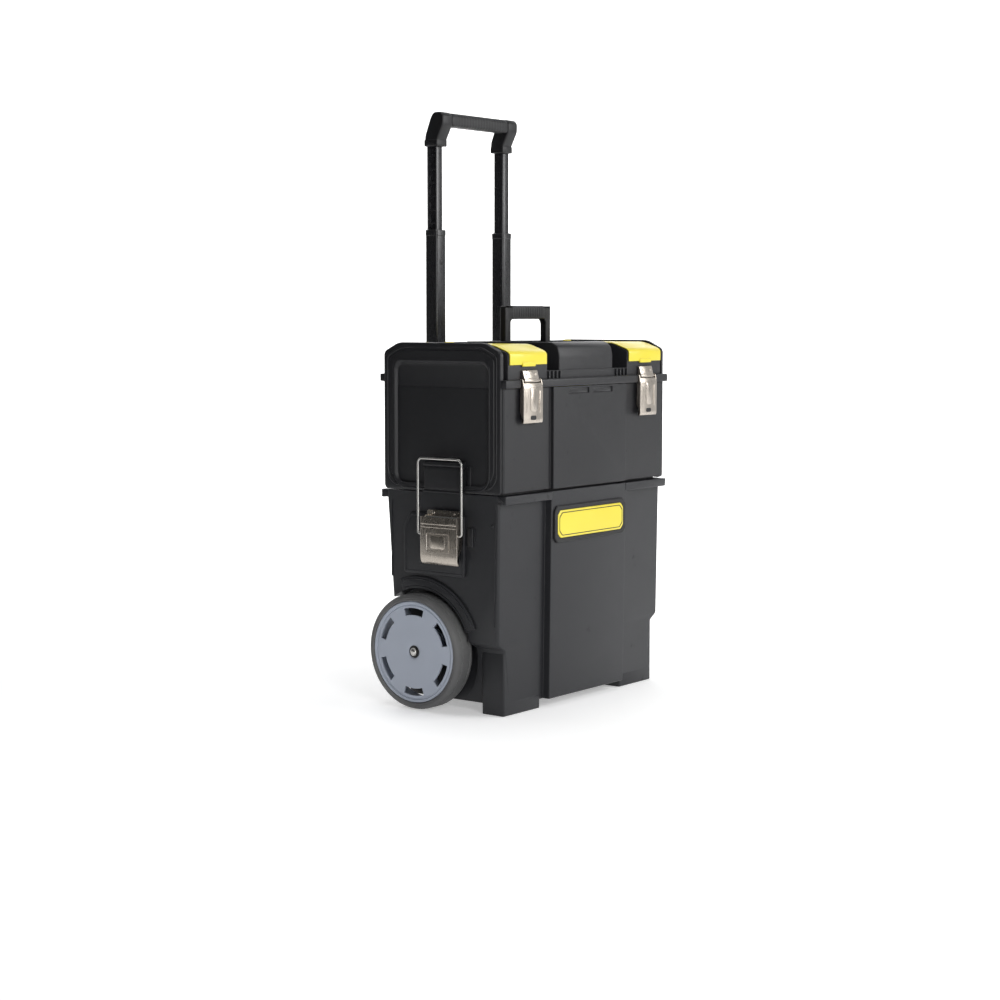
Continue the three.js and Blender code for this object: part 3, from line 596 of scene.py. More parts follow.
# ---------------------------------------------------------------- sub-assemblies
@dataclass
class Wheels:
    """Both wheels: ribbed tyres on slotted hub discs, and the caps on the axle's ends."""

    axle_y: float = 42.4
    axle_z: float = 89.0
    radius: float = 88.8
    seat: float = 78.2
    inner: float = 198.0
    outer: float = 238.0
    slots: int = 6
    slot_low: float = 56.5
    slot_high: float = 67.5
    slot_half_angle: float = 17.0
    sipes: int = 54

    def tyre(self) -> list[Shell]:
        """The tyre: a rounded section with two grooves and shallow slanted sipes in its tread."""
        i, o, r, s = self.inner, self.outer, self.radius, self.seat
        section = soft_polygon(
            [(i + 2.5, s), (i + 0.3, r - 8.2), (i, r - 6), (i + 3, r - 1.6), (i + 9, r), (i + 9.6, r - 1.4),
             (i + 11.6, r - 1.4), (i + 12.2, r), (o - 12.2, r), (o - 11.6, r - 1.4), (o - 9.6, r - 1.4),
             (o - 9, r), (o - 3, r - 1.6), (o, r - 6), (o - 0.6, r - 7.4), (o - 0.2, r - 8.8), (o - 1.6, s)],
            [0.5, 1, 1, 2.2, 0.25, 0.25, 0.25, 0.25, 0.25, 0.25, 0.25, 0.25, 2.2, 1.4, 0.5, 0.5, 0.5], 3)

        def sipe(angle: Array, x: Array) -> Array:
            """A shallow dip wherever the slanted wave is near its top."""
            wave = np.sin(self.sipes * angle + (x - self.inner) * 0.32)
            return -0.55 * np.clip((wave - 0.55) * 4, 0, 1)

        return [lathed(section, (self.axle_y, self.axle_z), self.sipes * 6, sipe)]

    def ring(self, x0: float, x1: float, low: float, high: float, cut: float, steps: int) -> Shell:
        """A plain ring round the axle, between two places on it and two radii."""
        section = soft_polygon([(x0, low), (x1, low), (x1, high), (x0, high)], cut, 2)
        return lathed(section, (self.axle_y, self.axle_z), steps)

    def hub(self) -> list[Shell]:
        """The hub: a disc whose face follows a profile of x over the radius, left open at its slots,
        a rim barrel behind it, a boss and six webs."""
        radii = np.array([10, 11, 14, 22, 30, 38, 46, 52, self.slot_low, 60, 64, self.slot_high, 69.5, 71,
                          71.8, 73.2, 74, 76.4, 77.6])
        face_x = np.interp(radii, [10, 11, 14, 68, 71, 71.8, 73.2, 74, 76.4, 77.6],
                           [233.6, 234.4, 234.8, 235.4, 235.4, 234.5, 234.5, 236.6, 236.8, 235.9])
        sector = 2 * math.pi / self.slots
        half = math.radians(self.slot_half_angle)
        local = np.concatenate([np.linspace(-half, half, 9), np.linspace(half, sector - half, 7)[1:-1]])
        angles = (local[None, :] + np.arange(self.slots)[:, None] * sector + math.pi / 2).ravel()
        rows, count = len(radii), len(angles)
        y = self.axle_y + radii[:, None] * np.cos(angles)
        z = self.axle_z + radii[:, None] * np.sin(angles)
        front = np.stack([np.broadcast_to(face_x[:, None], y.shape), y, z], -1)
        back = front - np.array([3.0, 0, 0])
        cell_r, cell_a = np.arange(rows - 1)[:, None], np.arange(count)[None, :]
        nxt = (cell_a + 1) % count
        span = len(local)
        hole = ((radii[:-1, None] >= self.slot_low) & (radii[1:, None] <= self.slot_high)
                & (cell_a % span < 8))
        ring, over = cell_r * count, (cell_r + 1) * count
        flat = np.stack([ring + cell_a, over + cell_a, over + nxt, ring + nxt], -1)[~hole]
        total = rows * count
        # walls: every cell edge that has metal on one side only
        edges = np.concatenate([flat[:, [0, 1]], flat[:, [1, 2]], flat[:, [2, 3]], flat[:, [3, 0]]])
        key = np.sort(edges, 1)
        _, first, uses = np.unique(key, axis=0, return_index=True, return_counts=True)
        rim = edges[first[uses == 1]]
        walls = np.stack([rim[:, 0], rim[:, 0] + total, rim[:, 1] + total, rim[:, 1]], 1)
        faces = flat.tolist() + (flat[:, ::-1] + total).tolist() + walls.tolist()
        disc = (np.concatenate([front.reshape(-1, 3), back.reshape(-1, 3)]), faces)
        centre = (self.axle_y, self.axle_z)
        barrel = self.ring(201, 235, 74.2, 77.9, 0.6, 96)
        boss = self.ring(199, 233.5, 6.8, 13, 0.6, 48)
        inner = self.ring(203, 205.5, 12.5, 40, 0.4, 48)
        webs = []
        for turn in np.arange(self.slots) * sector + sector / 2 + math.pi / 2:
            along = np.array([math.cos(turn), math.sin(turn)])
            aside = np.array([-along[1], along[0]])
            ends = [along * 12.4 - aside, along * 74.4 - aside, along * 74.4 + aside, along * 12.4 + aside]
            outline = soft_polygon([e + np.array(centre) for e in ends], 0.3, 1)
            webs.append(slab(outline, 206, 232.8, Axis.X, 0.3, 1))
        return [disc, barrel, boss, inner, *webs]

    def build(self) -> None:
        """Both sides' tyres, hubs, axle caps, and the black rings that paint the shade in the hubs' bores."""
        centre = (self.axle_y, self.axle_z)
        for side in Side:
            tag = side.tag
            wheel = f"wheel_{tag}"
            put(f"ribbed_tyre_{tag}", on_side(side, self.tyre()), TYRE_RUBBER, wheel, [f"tyre_{tag}"],
                crease=50)
            put(f"slotted_hub_{tag}", on_side(side, self.hub()), HUB_PLASTIC, wheel, [f"hub_{tag}"],
                bevel=0.5)
            # painted shade: a black ring fills the hub's bore round the cap where the bore lies in shade
            bore_shade_ring = self.ring(232.6, 233.8, 6.4, 9.8, 0.3, 40)
            put(f"axle_washer_{tag}", on_side(side, [bore_shade_ring]), BLACK_PLASTIC, "base")
            cap = head(centre, 5.4, 235.6, 231.5, 2.6, Axis.X, 28, 6)
            put(f"push_cap_{tag}", on_side(side, [cap]), BRIGHT_STEEL, "base", [f"axle_cap_{tag}"])
            dress(f"wheel_spacer_{tag}", BLACK_PLASTIC)
        dress("wheel_axle", BRIGHT_STEEL)


@dataclass
class PullHandle:
    """The two-stage handle: sleeves and backplate on the bin, outer and inner poles, and the grip."""

    pole_x: float = 85.7
    pole_y: float = 118.75
    inner_y: float = 119.7
    outer_width: float = 24.0
    outer_depth: float = 24.5
    outer_low: float = 270.0
    outer_high: float = 734.0
    inner_width: float = 16.0
    inner_depth: float = 19.4
    inner_low: float = 620.0
    inner_high: float = 880.0
    wall: float = 1.2
    channel: float = 4.2
    rib_pitch: float = 21.0
    grip_half: float = 97.2
    grip_corner: float = 71.5
    button_z: float = 684.0

    def outer_pole(self) -> list[Shell]:
        """A square tube, open at the top, with softened corners and a rolled collar."""
        x, y = self.pole_x, self.pole_y
        across, deep = self.outer_width / 2, self.outer_depth / 2
        outer = rectangle(x - across, x + across, y - deep, y + deep, 4.2, 5)
        bore, collar = inset(outer, self.wall + 0.6), inset(outer, -0.5)
        low, high = self.outer_low, self.outer_high
        ends = [(inset(outer, 0.5), low), (outer, low + 0.8), (outer, high - 9), (collar, high - 8.4),
                (collar, high - 0.6), (outer, high), (bore, high), (bore, high - 60)]
        return [stacked(ends, Axis.Z)]

    def button_bore(self) -> list[Shell]:
        """The dark ring the lock button sits in, on the tube's front face."""
        y = self.pole_y - self.outer_depth / 2
        ring = circle(5.4, 24, (self.pole_x, self.button_z))
        hole = circle(4.3, 24, (self.pole_x, self.button_z))
        levels = [(ring, y + 0.4), (ring, y - 0.25), (hole, y - 0.25), (hole, y + 0.4)]
        return [stacked(levels, Axis.Y, True)]

    def button(self) -> list[Shell]:
        """The spring button: a low dome."""
        y = self.pole_y - self.outer_depth / 2
        return [head((self.pole_x, self.button_z), 4.0, y + 0.3, y + 4, -0.9, Axis.Y, 24)]

    def inner_pole(self) -> list[Shell]:
        """A channel section open to the outside, with a cross rib and a brace in every bay."""
        x0, x1 = self.pole_x - self.inner_width / 2, self.pole_x + self.inner_width / 2
        y0, y1 = self.inner_y - self.inner_depth / 2, self.inner_y + self.inner_depth / 2
        c = self.channel
        section = soft_polygon([(x0, y0), (x1, y0), (x1, y0 + 2.6), (x1 - c, y0 + 3.2), (x1 - c, y1 - 3.2),
                                (x1, y1 - 2.6), (x1, y1), (x0, y1)], [3, 0.8, 0.6, 0.6, 0.6, 0.6, 0.8, 3], 3)
        shells = [slab(section, self.inner_low, self.inner_high, Axis.Z, 0.5, 2)]
        for z in np.arange(self.inner_high - 30, self.inner_low + 20, -self.rib_pitch):
            shells.append(slab(rectangle(y0 + 2, y1 - 2, z - 1.5, z + 1.5, 0.5, 2), x1 - c - 0.5, x1 - 0.5,
                               Axis.X, 0.4, 2))
            brace = soft_polygon([(y1 - 3, z - 1), (y1 - 3, z - 12), (y1 - 9, z - 1)], 0.6, 2)
            shells.append(slab(brace, x1 - c - 0.5, x1 - 1.2, Axis.X, 0.4, 2))
        return shells

    def corner(self) -> list[Shell]:
        """A grip corner: its side outline pushed along X, with a socket skirt and a seam step."""
        outline = soft_polygon(
            [(94.2, 911), (94.2, 897.5), (106.3, 874), (106.3, 863.8), (131.4, 863.8), (131.4, 880),
             (120, 909), (114, 916.8), (99.5, 916.8)], [2, 4, 4, 1, 1, 5, 5, 4, 3], 4)[::-1]
        skirt = rectangle(105.6, 132.0, 864.5, 874.5, 1.2, 3)
        return [slab(outline, self.grip_corner + 0.4, self.grip_half, Axis.X, 2.6, 4),
                slab(skirt, 72.2, 97.9, Axis.X, 1.6, 3)]

    def bar(self) -> list[Shell]:
        """The grip bar: a softened section between the corners, with shallow finger ridges."""
        section = soft_polygon([(94.6, 897), (99, 894.4), (112, 894.4), (117.4, 900), (117.4, 908),
                                (112, 916.2), (99, 916.2), (94.6, 911)], 2.6, 4)
        x = np.linspace(-self.grip_corner, self.grip_corner, 121)
        ridge = 0.28 * (0.5 + 0.5 * np.cos(x * 2 * math.pi / 7.1)) * (np.abs(x) < 62)
        ends = np.clip((np.abs(x) - 67) / 4, 0, 1) * 0.6
        centre = section.mean(0)
        size = 1 - (ridge + ends)[:, None, None] / 12
        flat = centre + (section[None] - centre) * size
        loops = np.concatenate([np.broadcast_to(x[:, None, None], (*flat.shape[:2], 1)), flat], -1)
        return [skin(loops)]

    def build(self) -> None:
        """All the handle's pieces."""
        dress("handle_backplate", BLACK_PLASTIC, 0.8)
        for side in Side:
            tag = side.tag
            dress(f"pole_sleeve_{tag}", BLACK_PLASTIC, 0.8)
            put(f"square_tube_{tag}", on_side(side, self.outer_pole()), POLE_METAL, "handle_outer",
                [f"outer_pole_{tag}"])
            put(f"button_ring_{tag}", on_side(side, self.button_bore()), BLACK_PLASTIC, "handle_outer")
            put(f"spring_button_{tag}", on_side(side, self.button()), BLACK_PLASTIC, f"button_{tag}",
                [f"lock_button_{tag}"])
            put(f"ribbed_pole_{tag}", on_side(side, self.inner_pole()), POLE_METAL, "handle_inner",
                [f"inner_pole_{tag}"])
            put(f"grip_end_{tag}", on_side(side, self.corner()), BLACK_PLASTIC, "handle_inner",
                [f"grip_corner_{tag}"])
        put("ridged_grip", self.bar(), GRIP_RUBBER, "handle_inner", ["grip_bar"], crease=60)


@dataclass
class CarryBail:
    """The folding carry bail on the lid."""

    half: float = 59.7
    y: float = 5.5
    pivot_z: float = 532.0
    top: float = 614.5
    bar: float = 19.0
    depth: float = 12.0

    def build(self) -> None:
        """A U-shaped outline pushed along Y, with a thicker hand section under its bar."""
        h, z, t = self.half, self.pivot_z - 7, self.top
        under = t - self.bar
        near, far = self.y - self.depth / 2, self.y + self.depth / 2
        outline = soft_polygon(
            [(-h, z), (-h + 13, z), (-h + 13, under - 7), (-h + 20, under), (h - 20, under),
             (h - 13, under - 7), (h - 13, z), (h, z), (h, t - 1.5), (h - 1.5, t), (-h + 1.5, t),
             (-h, t - 1.5)], [5, 5, 3, 3, 3, 3, 5, 5, 1.5, 1.5, 1.5, 1.5], 4)
        hand = rectangle(-h + 17, h - 17, under - 1.4, t + 0.5, 3, 4)
        ribs = [slab(rectangle(x - 1.2, x + 1.2, under + 2, t - 2, 0.8, 2), near - 1.1, self.y, Axis.Y,
                     0.5, 2) for x in np.linspace(-36, 36, 13)]
        put("carry_bail_moulding",
            [slab(outline, near, far, Axis.Y, 2.2, 4),
             slab(hand, near - 0.6, far + 0.6, Axis.Y, 2.0, 4), *ribs],
            BLACK_PLASTIC, "bail", ["carry_bail"])
        for side in Side:
            dress(f"bail_stud_{side.tag}", BRIGHT_STEEL)


@dataclass
class OrganizerCovers:
    """The two yellow covers that close the organizer pockets in the lid."""

    inner: float = 111.0
    outer: float = 203.0
    hinge_y: float = 59.0
    top: float = 557.2
    sheet: float = 1.6

    def cover(self) -> list[Shell]:
        """A bent sheet with a lip, an inner frame, a finger tab and two hinge barrels."""
        t, z = self.sheet, self.top
        rear = self.hinge_y + 1
        outline = soft_polygon(
            [(-115.8, 527), (-115.8, 543.6), (-85.6, z - t), (rear, z - t), (rear, z), (-85.2, z),
             (-113.5, 547.4), (-118, 543.2), (-118, 527)], [0.5, 3, 5, 0.4, 1, 8, 3, 3, 0.8], 4)
        shells = [slab(outline, self.inner, self.outer, Axis.X, 1.0, 3)]
        # a shallow raised frame on the flat top
        border = rectangle(self.inner + 9, self.outer - 9, -76, 46, 6, 5)
        shells.append(raised_frame(border, (0, 0.4, 2.2, 2.6), z - 0.5, z + 0.15, Axis.Z))
        tab = rectangle(self.inner + 30, self.outer - 30, 524.5, 531, 1.5, 3)
        shells.append(slab(tab, -119.2, -116.2, Axis.Y, 0.8, 3))
        # two hinge barrels
        for x in (self.inner + 5, self.outer - 25):
            shells.append(slab(circle(1.7, 16, (self.hinge_y, 557.6)), x, x + 20, Axis.X, 0.4, 2))
        return shells

    def build(self) -> None:
        """Both covers."""
        for side in Side:
            tag = side.tag
            put(f"yellow_cover_{tag}", on_side(side, self.cover()), YELLOW_PLASTIC, f"cover_{tag}",
                [f"organizer_cover_{tag}"])


@dataclass
class FrontLatches:
    """The two nickel latches that hold the lid down."""

    x: float = 156.0
    half: float = 24.0
    front: float = -126.0
    pivot_z: float = 503.0
    bottom: float = 440.0

    def lever(self) -> list[Shell]:
        """A bent plate: its side outline pushed along X, cheeks, a raised centre and a pull lip."""
        f, z0, z1 = self.front, self.bottom, self.pivot_z
        wave = soft_polygon(
            [(f + 2.2, z0 + 3), (f + 2, z0 + 14), (f + 1.6, z1 - 26), (f + 1.8, z1 - 8), (f + 3.4, z1 - 3.4),
             (f + 1.8, z1 - 2.8), (f, z1 - 8), (f, z1 - 26), (f + 0.2, z0 + 12), (f, z0 + 5), (f + 1, z0),
             (f + 5, z0), (f + 5, z0 + 1.6)], [0.4, 3, 3, 3, 0.4, 0.6, 3, 3, 3, 2, 1, 0.5, 0.5], 3)
        shells = [slab(wave, self.x - self.half + 0.2, self.x + self.half - 0.2, Axis.X, 0.6, 2)]
        cheek = soft_polygon([(f + 0.6, z0 + 4), (f + 7.5, z0 + 16), (f + 7.5, z1 + 3.5), (f + 3, z1 + 3.5),
                              (f + 0.6, z1 - 6)], [1, 4, 1.5, 2, 2], 3)
        for a in (self.x - self.half, self.x + self.half - 2):
            shells.append(slab(cheek, a, a + 2, Axis.X, 0.5, 2))
        # the pressed centre: a raised tongue between two beads
        tongue = rectangle(self.x - 8, self.x + 8, z0 + 17, z1 - 10, 4, 4)
        levels = [(tongue, f + 1), (inset(tongue, 0.5), f - 0.5), (inset(tongue, 1.6), f - 1)]
        shells.append(stacked(levels, Axis.Y))
        for dx in (-16.5, 16.5):
            bead = rectangle(self.x + dx - 2.4, self.x + dx + 2.4, z0 + 15, z1 - 14, 2.2, 4)
            levels = [(bead, f + 1), (inset(bead, 0.4), f - 0.3), (inset(bead, 1.2), f - 0.6)]
            shells.append(stacked(levels, Axis.Y))
        return shells

    def eye(self) -> list[Shell]:
        """The dark keyhole at the lever's foot."""
        hole = rectangle(self.x - 7, self.x + 7, self.bottom + 5, self.bottom + 11.5, 2.6, 4)
        return [slab(hole, self.front - 0.25, self.front + 1.5, Axis.Y, 0.2, 1)]

    def mount(self) -> list[Shell]:
        """The plate on the lid's rim, rolled over the pivot, with two rivets."""
        z = self.pivot_z
        roll = soft_polygon([(-115.9, z - 7), (-115.9, z + 15), (-118.8, z + 16.2), (-120.2, z + 13),
                             (-122.4, z + 4), (-124, z + 1.5), (-123.8, z - 1.8), (-121, z - 3),
                             (-118.6, z - 1.6), (-117.6, z - 7)],
                            [0.4, 0.6, 1, 2, 2, 1.2, 1.2, 1.2, 1, 0.4], 3)
        shells = [slab(roll, self.x - self.half + 6, self.x + self.half - 6, Axis.X, 0.5, 2)]
        shells += [head((self.x + dx, z + 9.5), 2.6, -120.4, -118.0, -1.5, Axis.Y, 18) for dx in (-12, 12)]
        return shells

    def build(self) -> None:
        """Both latches; their pins and keepers keep the CAD's solids."""
        for side in Side:
            tag = side.tag
            latch = f"latch_{tag}"
            put(f"pressed_lever_{tag}", on_side(side, self.lever()), NICKEL, latch, [f"latch_lever_{tag}"])
            put(f"lever_eye_{tag}", on_side(side, self.eye()), BLACK_PLASTIC, latch)
            put(f"rolled_mount_{tag}", on_side(side, self.mount()), NICKEL, "lid", [f"latch_mount_{tag}"])
            dress(f"latch_pin_{tag}", BRIGHT_STEEL)
            dress(f"latch_keeper_{tag}", BRIGHT_STEEL, 0.4)


@dataclass
class SideLatches:
    """The draw latches at the ends: base, pressed lever and wire loop over the catch ledge."""

    y: float = -9.5
    half: float = 35.5
    face: float = 238.5
    pivot_x: float = 229.0
    pivot_z: float = 297.0
    bottom: float = 226.0
    wire_x: float = 235.0
    wire_z: float = 272.0
    wire_top: float = 386.0
    wire_half: float = 42.0
    wire_radius: float = 1.8
    pad: float = 223.3

    def lever(self) -> list[Shell]:
        """A pressed plate with a rolled foot, cheeks, cross beads and a raised window."""
        x, z0, z1 = self.face, self.bottom, self.pivot_z
        plate = soft_polygon(
            [(x - 2.2, z1 + 1), (x - 2, z0 + 24), (x - 1.6, z0 + 19), (x - 2.6, z0 + 9), (x - 6.4, z0 + 2),
             (x - 5, z0), (x - 1, z0 + 5), (x, z0 + 12), (x, z0 + 22), (x - 0.2, z1 + 1)],
            [0.4, 3, 3, 3, 0.5, 0.6, 2, 3, 3, 0.4], 4)
        # the outline is (x, z) and is pushed along Y
        shells = [slab(plate, self.y - self.half + 0.3, self.y + self.half - 0.3, Axis.Y, 0.7, 2)]
        cheek = soft_polygon([(x - 0.4, z0 + 8), (x - 0.4, z1 + 1.5), (self.pivot_x - 4.2, z1 + 1.5),
                              (self.pivot_x - 4.2, z0 + 30)], [4, 1.5, 3, 5], 4)
        for a in (self.y - self.half, self.y + self.half - 2):
            shells.append(slab(cheek, a, a + 2, Axis.Y, 0.5, 2))
        ring = rectangle(self.y - 21, self.y + 25, z0 + 19, z0 + 49, 3, 4)
        shells.append(stacked([(ring, x - 1), (inset(ring, 0.5), x + 0.7), (inset(ring, 2.2), x + 0.7),
                               (inset(ring, 3.2), x - 0.8)], Axis.X, True))
        tongue = rectangle(self.y - 13, self.y + 17, z0 + 24, z0 + 44, 4, 4)
        levels = [(tongue, x - 1), (inset(tongue, 0.8), x + 0.5), (inset(tongue, 2.4), x + 0.9)]
        shells.append(stacked(levels, Axis.X))
        reach = self.half - 2.4
        for z, r in ((z0 + 62, 1.5), (z0 + 57, 1.1)):
            shells.append(slab(circle(r, 14, (x - 0.6, z)), self.y - reach, self.y + reach, Axis.Y, 0.5, 2))
        return shells

    def base(self) -> list[Shell]:
        """The plate behind the lever, its two ears and two rivets."""
        pad, h = self.pad, self.half - 3
        outline = rectangle(self.y - h, self.y + h, 248, 308, 3, 3)
        shells = [slab(outline, pad, pad + 2, Axis.X, 0.5, 2)]
        tip, z = self.pivot_x + 3.4, self.pivot_z
        ear = soft_polygon([(pad, z - 11), (tip, z - 6), (tip, z + 2.6), (pad, z + 5)], [0.5, 4, 3, 0.5], 3)
        for a in (self.y - h, self.y + h - 2.2):
            shells.append(slab(ear, a, a + 2.2, Axis.Y, 0.5, 2))
        shells += [head((self.y + dy, 303), 2.6, pad + 2, pad + 1, 1.4, Axis.X) for dy in (-20, 20)]
        return shells

    def wire(self) -> list[Shell]:
        """A round wire carried along a bent path: two legs, a bowed top bar and stubs turned inward."""
        y, h, top, low = self.y, self.wire_half, self.wire_top, self.wire_z
        stub = self.half - 3
        track = soft_polygon([(y - stub, low), (y - h, low), (y - h, top), (y + h, top), (y + h, low),
                              (y + stub, low)], [0.01, 3.5, 8, 8, 3.5, 0.01], 7)[8:-8]
        track = np.concatenate([[(y - stub, low)], track, [(y + stub, low)]])
        path = np.concatenate([np.full((len(track), 1), self.wire_x), track], 1)
        return [carried(path, circle(self.wire_radius, 14), (1, 0, 0))]

    def build(self) -> None:
        """Both draw latches."""
        for side in Side:
            tag = side.tag
            put(f"draw_lever_{tag}", on_side(side, self.lever()), NICKEL, f"side_lever_{tag}",
                [f"side_latch_lever_{tag}"])
            put(f"draw_base_{tag}", on_side(side, self.base()), NICKEL, "base", [f"side_latch_base_{tag}"])
            put(f"draw_wire_{tag}", on_side(side, self.wire()), BRIGHT_STEEL, f"side_wire_{tag}",
                [f"side_latch_wire_{tag}"], crease=60)
            dress(f"side_latch_pin_{tag}", BRIGHT_STEEL)


@dataclass
class NamePlate:
    """The plain yellow plate in its dark bezel; it carries no lettering."""

    half: float = 96.0
    low: float = 254.0
    high: float = 311.0
    front: float = -123.0
    back: float = -120.0
    cut: float = 7.0

    def outline(self, depth: float) -> Array:
        """The plate's stepped-corner outline, moved inward."""
        h, a, b, c = self.half - depth, self.low + depth, self.high - depth, self.cut
        return soft_polygon([(-h + c, a), (h - c, a), (h, a + c), (h, b - c), (h - c, b), (-h + c, b),
                             (-h, b - c), (-h, a + c)], 2.0, 3)

    def build(self) -> None:
        """The bezel as a ring of outlines, and the plate as a crowned slab with a dark hairline border."""
        f, b = self.front, self.back
        ring = stacked([(self.outline(0), b + 1.5), (self.outline(0.2), f + 1), (self.outline(1.2), f),
                        (self.outline(6.6), f), (self.outline(7.4), f + 1.2), (self.outline(7.4), b + 1.5)],
                       Axis.Y, True)
        put("plate_bezel", [ring], BLACK_PLASTIC, "base", ["badge_bezel"])
        plate = stacked([(self.outline(7.2), b + 1), (self.outline(7.6), f + 0.3),
                         (self.outline(8.6), f - 0.2), (self.outline(14), f - 0.45)], Axis.Y)
        put("plain_plate", [plate], YELLOW_PLASTIC, "base", ["badge_plate"])
        outside, inside = self.outline(10.6), self.outline(11.8)
        line = stacked([(outside, f + 0.4), (outside, f - 0.5), (inside, f - 0.5), (inside, f + 0.4)],
                       Axis.Y, True)
        put("plate_hairline", [line], BLACK_PLASTIC, "base")


@dataclass
class BinShell:
    """The lower bin's moulding: an open tub with wheel housings, and the details set on it."""

    half: float = 217.5
    foot_half: float = 200.5
    front: float = -107.8
    rear: float = 110.5
    panel: float = 101.0
    proud: float = 12.0
    bay: float = 106.0
    bay_y: float = 101.0
    front_lean: float = 0.963
    rear_lean: float = 0.8
    floor: float = 13.8
    seam: float = 334.0
    wall: float = 3.2
    arch_y: float = 42.4
    arch_z: float = 89.0
    well: float = 96.0
    well_back: float = 191.0
    arch_high: float = 115.0

    def plan(self, z: float, half: float, wall: float = 0.0, corner: float = 5.0) -> Array:
        """The tub's plan at a height: front and rear lean in, in proportion to the drop below the seam."""
        drop = (self.seam - z) / (self.seam - self.floor)
        front = self.front * (1 - (1 - self.front_lean) * drop)
        rear = self.rear * (1 - (1 - self.rear_lean) * drop)
        bay_y = self.bay_y * (1 - (1 - self.rear_lean) * drop)
        return box_plan(half - wall, front + wall, rear - wall, self.panel - wall, self.proud,
                        self.bay + wall, bay_y - wall, corner)

    def tub(self) -> Shell:
        """The walls: plans stacked over the height, stepping in above the feet, carved by the cavity, the
        wheel wells and the axle channel."""
        heights = [(self.floor, 188.0, 1.0), (self.floor + 1.0, 189.0, 0), (26, 191.5, 0),
                   (99, self.foot_half, 0), (101, self.foot_half + 1.2, 0), (109, self.half - 2.2, 0),
                   (112, self.half - 0.8, 0), (200, self.half - 0.4, 0), (self.seam - 0.4, self.half, 0),
                   (self.seam, self.half, 0.4)]
        outer = stacked([(self.plan(z, half, wall), z) for z, half, wall in heights], Axis.Z)
        inner_heights = [(self.floor + 3.4, 186), (99, self.foot_half - 3.5), (104, self.foot_half - 2.5),
                         (114, self.half - 4), (self.seam + 2, self.half - 3.4)]
        cavity = stacked([(self.plan(z, half, self.wall if z > 100 else self.wall + 0.2), z)
                          for z, half in inner_heights], Axis.Z)
        centre, back, wall = (self.arch_y, self.arch_z), self.well_back, self.wall
        well = slab(circle(self.well, 96, centre), back, 240, Axis.X, 0.3, 1)
        housing = slab(circle(self.well + wall, 96, centre), back - wall, 240, Axis.X, 1.5, 2)
        low, high, top = self.arch_y - 18, self.arch_y + 18, self.arch_z + 16
        channel = block(-back - 1, back + 1, low, high, -5, top)
        cover = block(-back - 3, back + 3, low - wall, high + wall, -9, top + wall, 3, 2.5)
        room = carved(cavity, [*both_sides(housing), cover])
        return carved(outer, [*both_sides(well), channel, room])

    def arch(self) -> list[Shell]:
        """The lip round the wheel well: a ring sector with rounded edges, and two beads on its face."""
        a = np.linspace(math.radians(70), math.radians(158), 52)
        ends = [(self.arch_high, a), (self.well - 0.4, a[::-1])]
        outline = np.concatenate([np.stack([self.arch_y + r * np.cos(t), self.arch_z + r * np.sin(t)], 1)
                                  for r, t in ends])
        shells = [slab(outline, 214.5, 220.6, Axis.X, 1.4, 4)]
        for radius, thick in ((self.arch_high - 4.6, 1.0), (self.well + 3.4, 0.9)):
            turn = a[2:-2]
            path = np.stack([np.full(turn.shape, 220.7), self.arch_y + radius * np.cos(turn),
                             self.arch_z + radius * np.sin(turn)], 1)
            shells.append(carried(path, circle(thick, 12), (1, 0, 0)))
        return shells

    def trim(self) -> list[Shell]:
        """Side details: the raised pad with its frame, a guide box beside the latch, bands and a screw."""
        pad = soft_polygon([(-46, 208), (72, 208), (72, 280), (60, 302), (-46, 302)], [4, 6, 5, 5, 4], 4)
        shells = [slab(pad, 214, 222.6, Axis.X, 1.6, 4)]
        shells.append(raised_frame(pad, (3.2, 3.7, 5.0, 5.5), 222, 223.2, Axis.X))
        shells.append(slab(rectangle(-61, -50, 255, 284, 2, 3), 214, 220.4, Axis.X, 1.4, 3))
        shells.append(slab(rectangle(-64.4, -62.2, 262, 283, 1, 3), 214, 218.9, Axis.X, 0.6, 2))
        band = soft_polygon([(-99.6, 137), (-97.8, 137), (-101.6, 322), (-103.4, 322)], 0.8, 3)
        shells.append(slab(band, 214, 218.3, Axis.X, 0.6, 2))
        shells.append(slab(rectangle(98.4, 100.4, 200, 318, 0.8, 3), 214, 218.3, Axis.X, 0.6, 2))
        shells.append(head((-96, 289), 3.0, 217.4, 216.4, 1.6, Axis.X))
        return shells

    def rims(self) -> list[Shell]:
        """The seam's rims in front and behind, and the feet."""
        low, top = self.seam - 13, self.seam - 0.2
        front = soft_polygon([(-104, low + 1), (-120, low), (-120.6, top), (-104, top)],
                             [0.5, 1.2, 1.4, 0.5], 3)
        shells = both_sides(slab(front, 99.6, 216.8, Axis.X, 1.2, 3))
        rear = soft_polygon([(100, low + 1), (121, low), (121, top), (100, top)], [0.5, 1.4, 1.4, 0.5], 3)
        foot = rectangle(108.5, 200.2, -103.9, -62, 3, 4)
        shells += both_sides(slab(rear[::-1], 110, 216.8, Axis.X, 1.2, 3))
        shells += both_sides(slab(foot, 0.1, 96, Axis.Z, 1.8, 3))
        return shells

    def build(self) -> None:
        """The tub, the arches, the rims and the side trim."""
        put("bin_tub", [self.tub()], BIN_PLASTIC, "base", ["lower_bin"], bevel=0.7)
        put("bin_rims_and_feet", self.rims(), BIN_PLASTIC, "base")
        for side in Side:
            put(f"wheel_arch_{side.tag}", on_side(side, self.arch()), BIN_PLASTIC, "base", crease=60)
            put(f"bin_side_trim_{side.tag}", on_side(side, self.trim()), BIN_PLASTIC, "base")


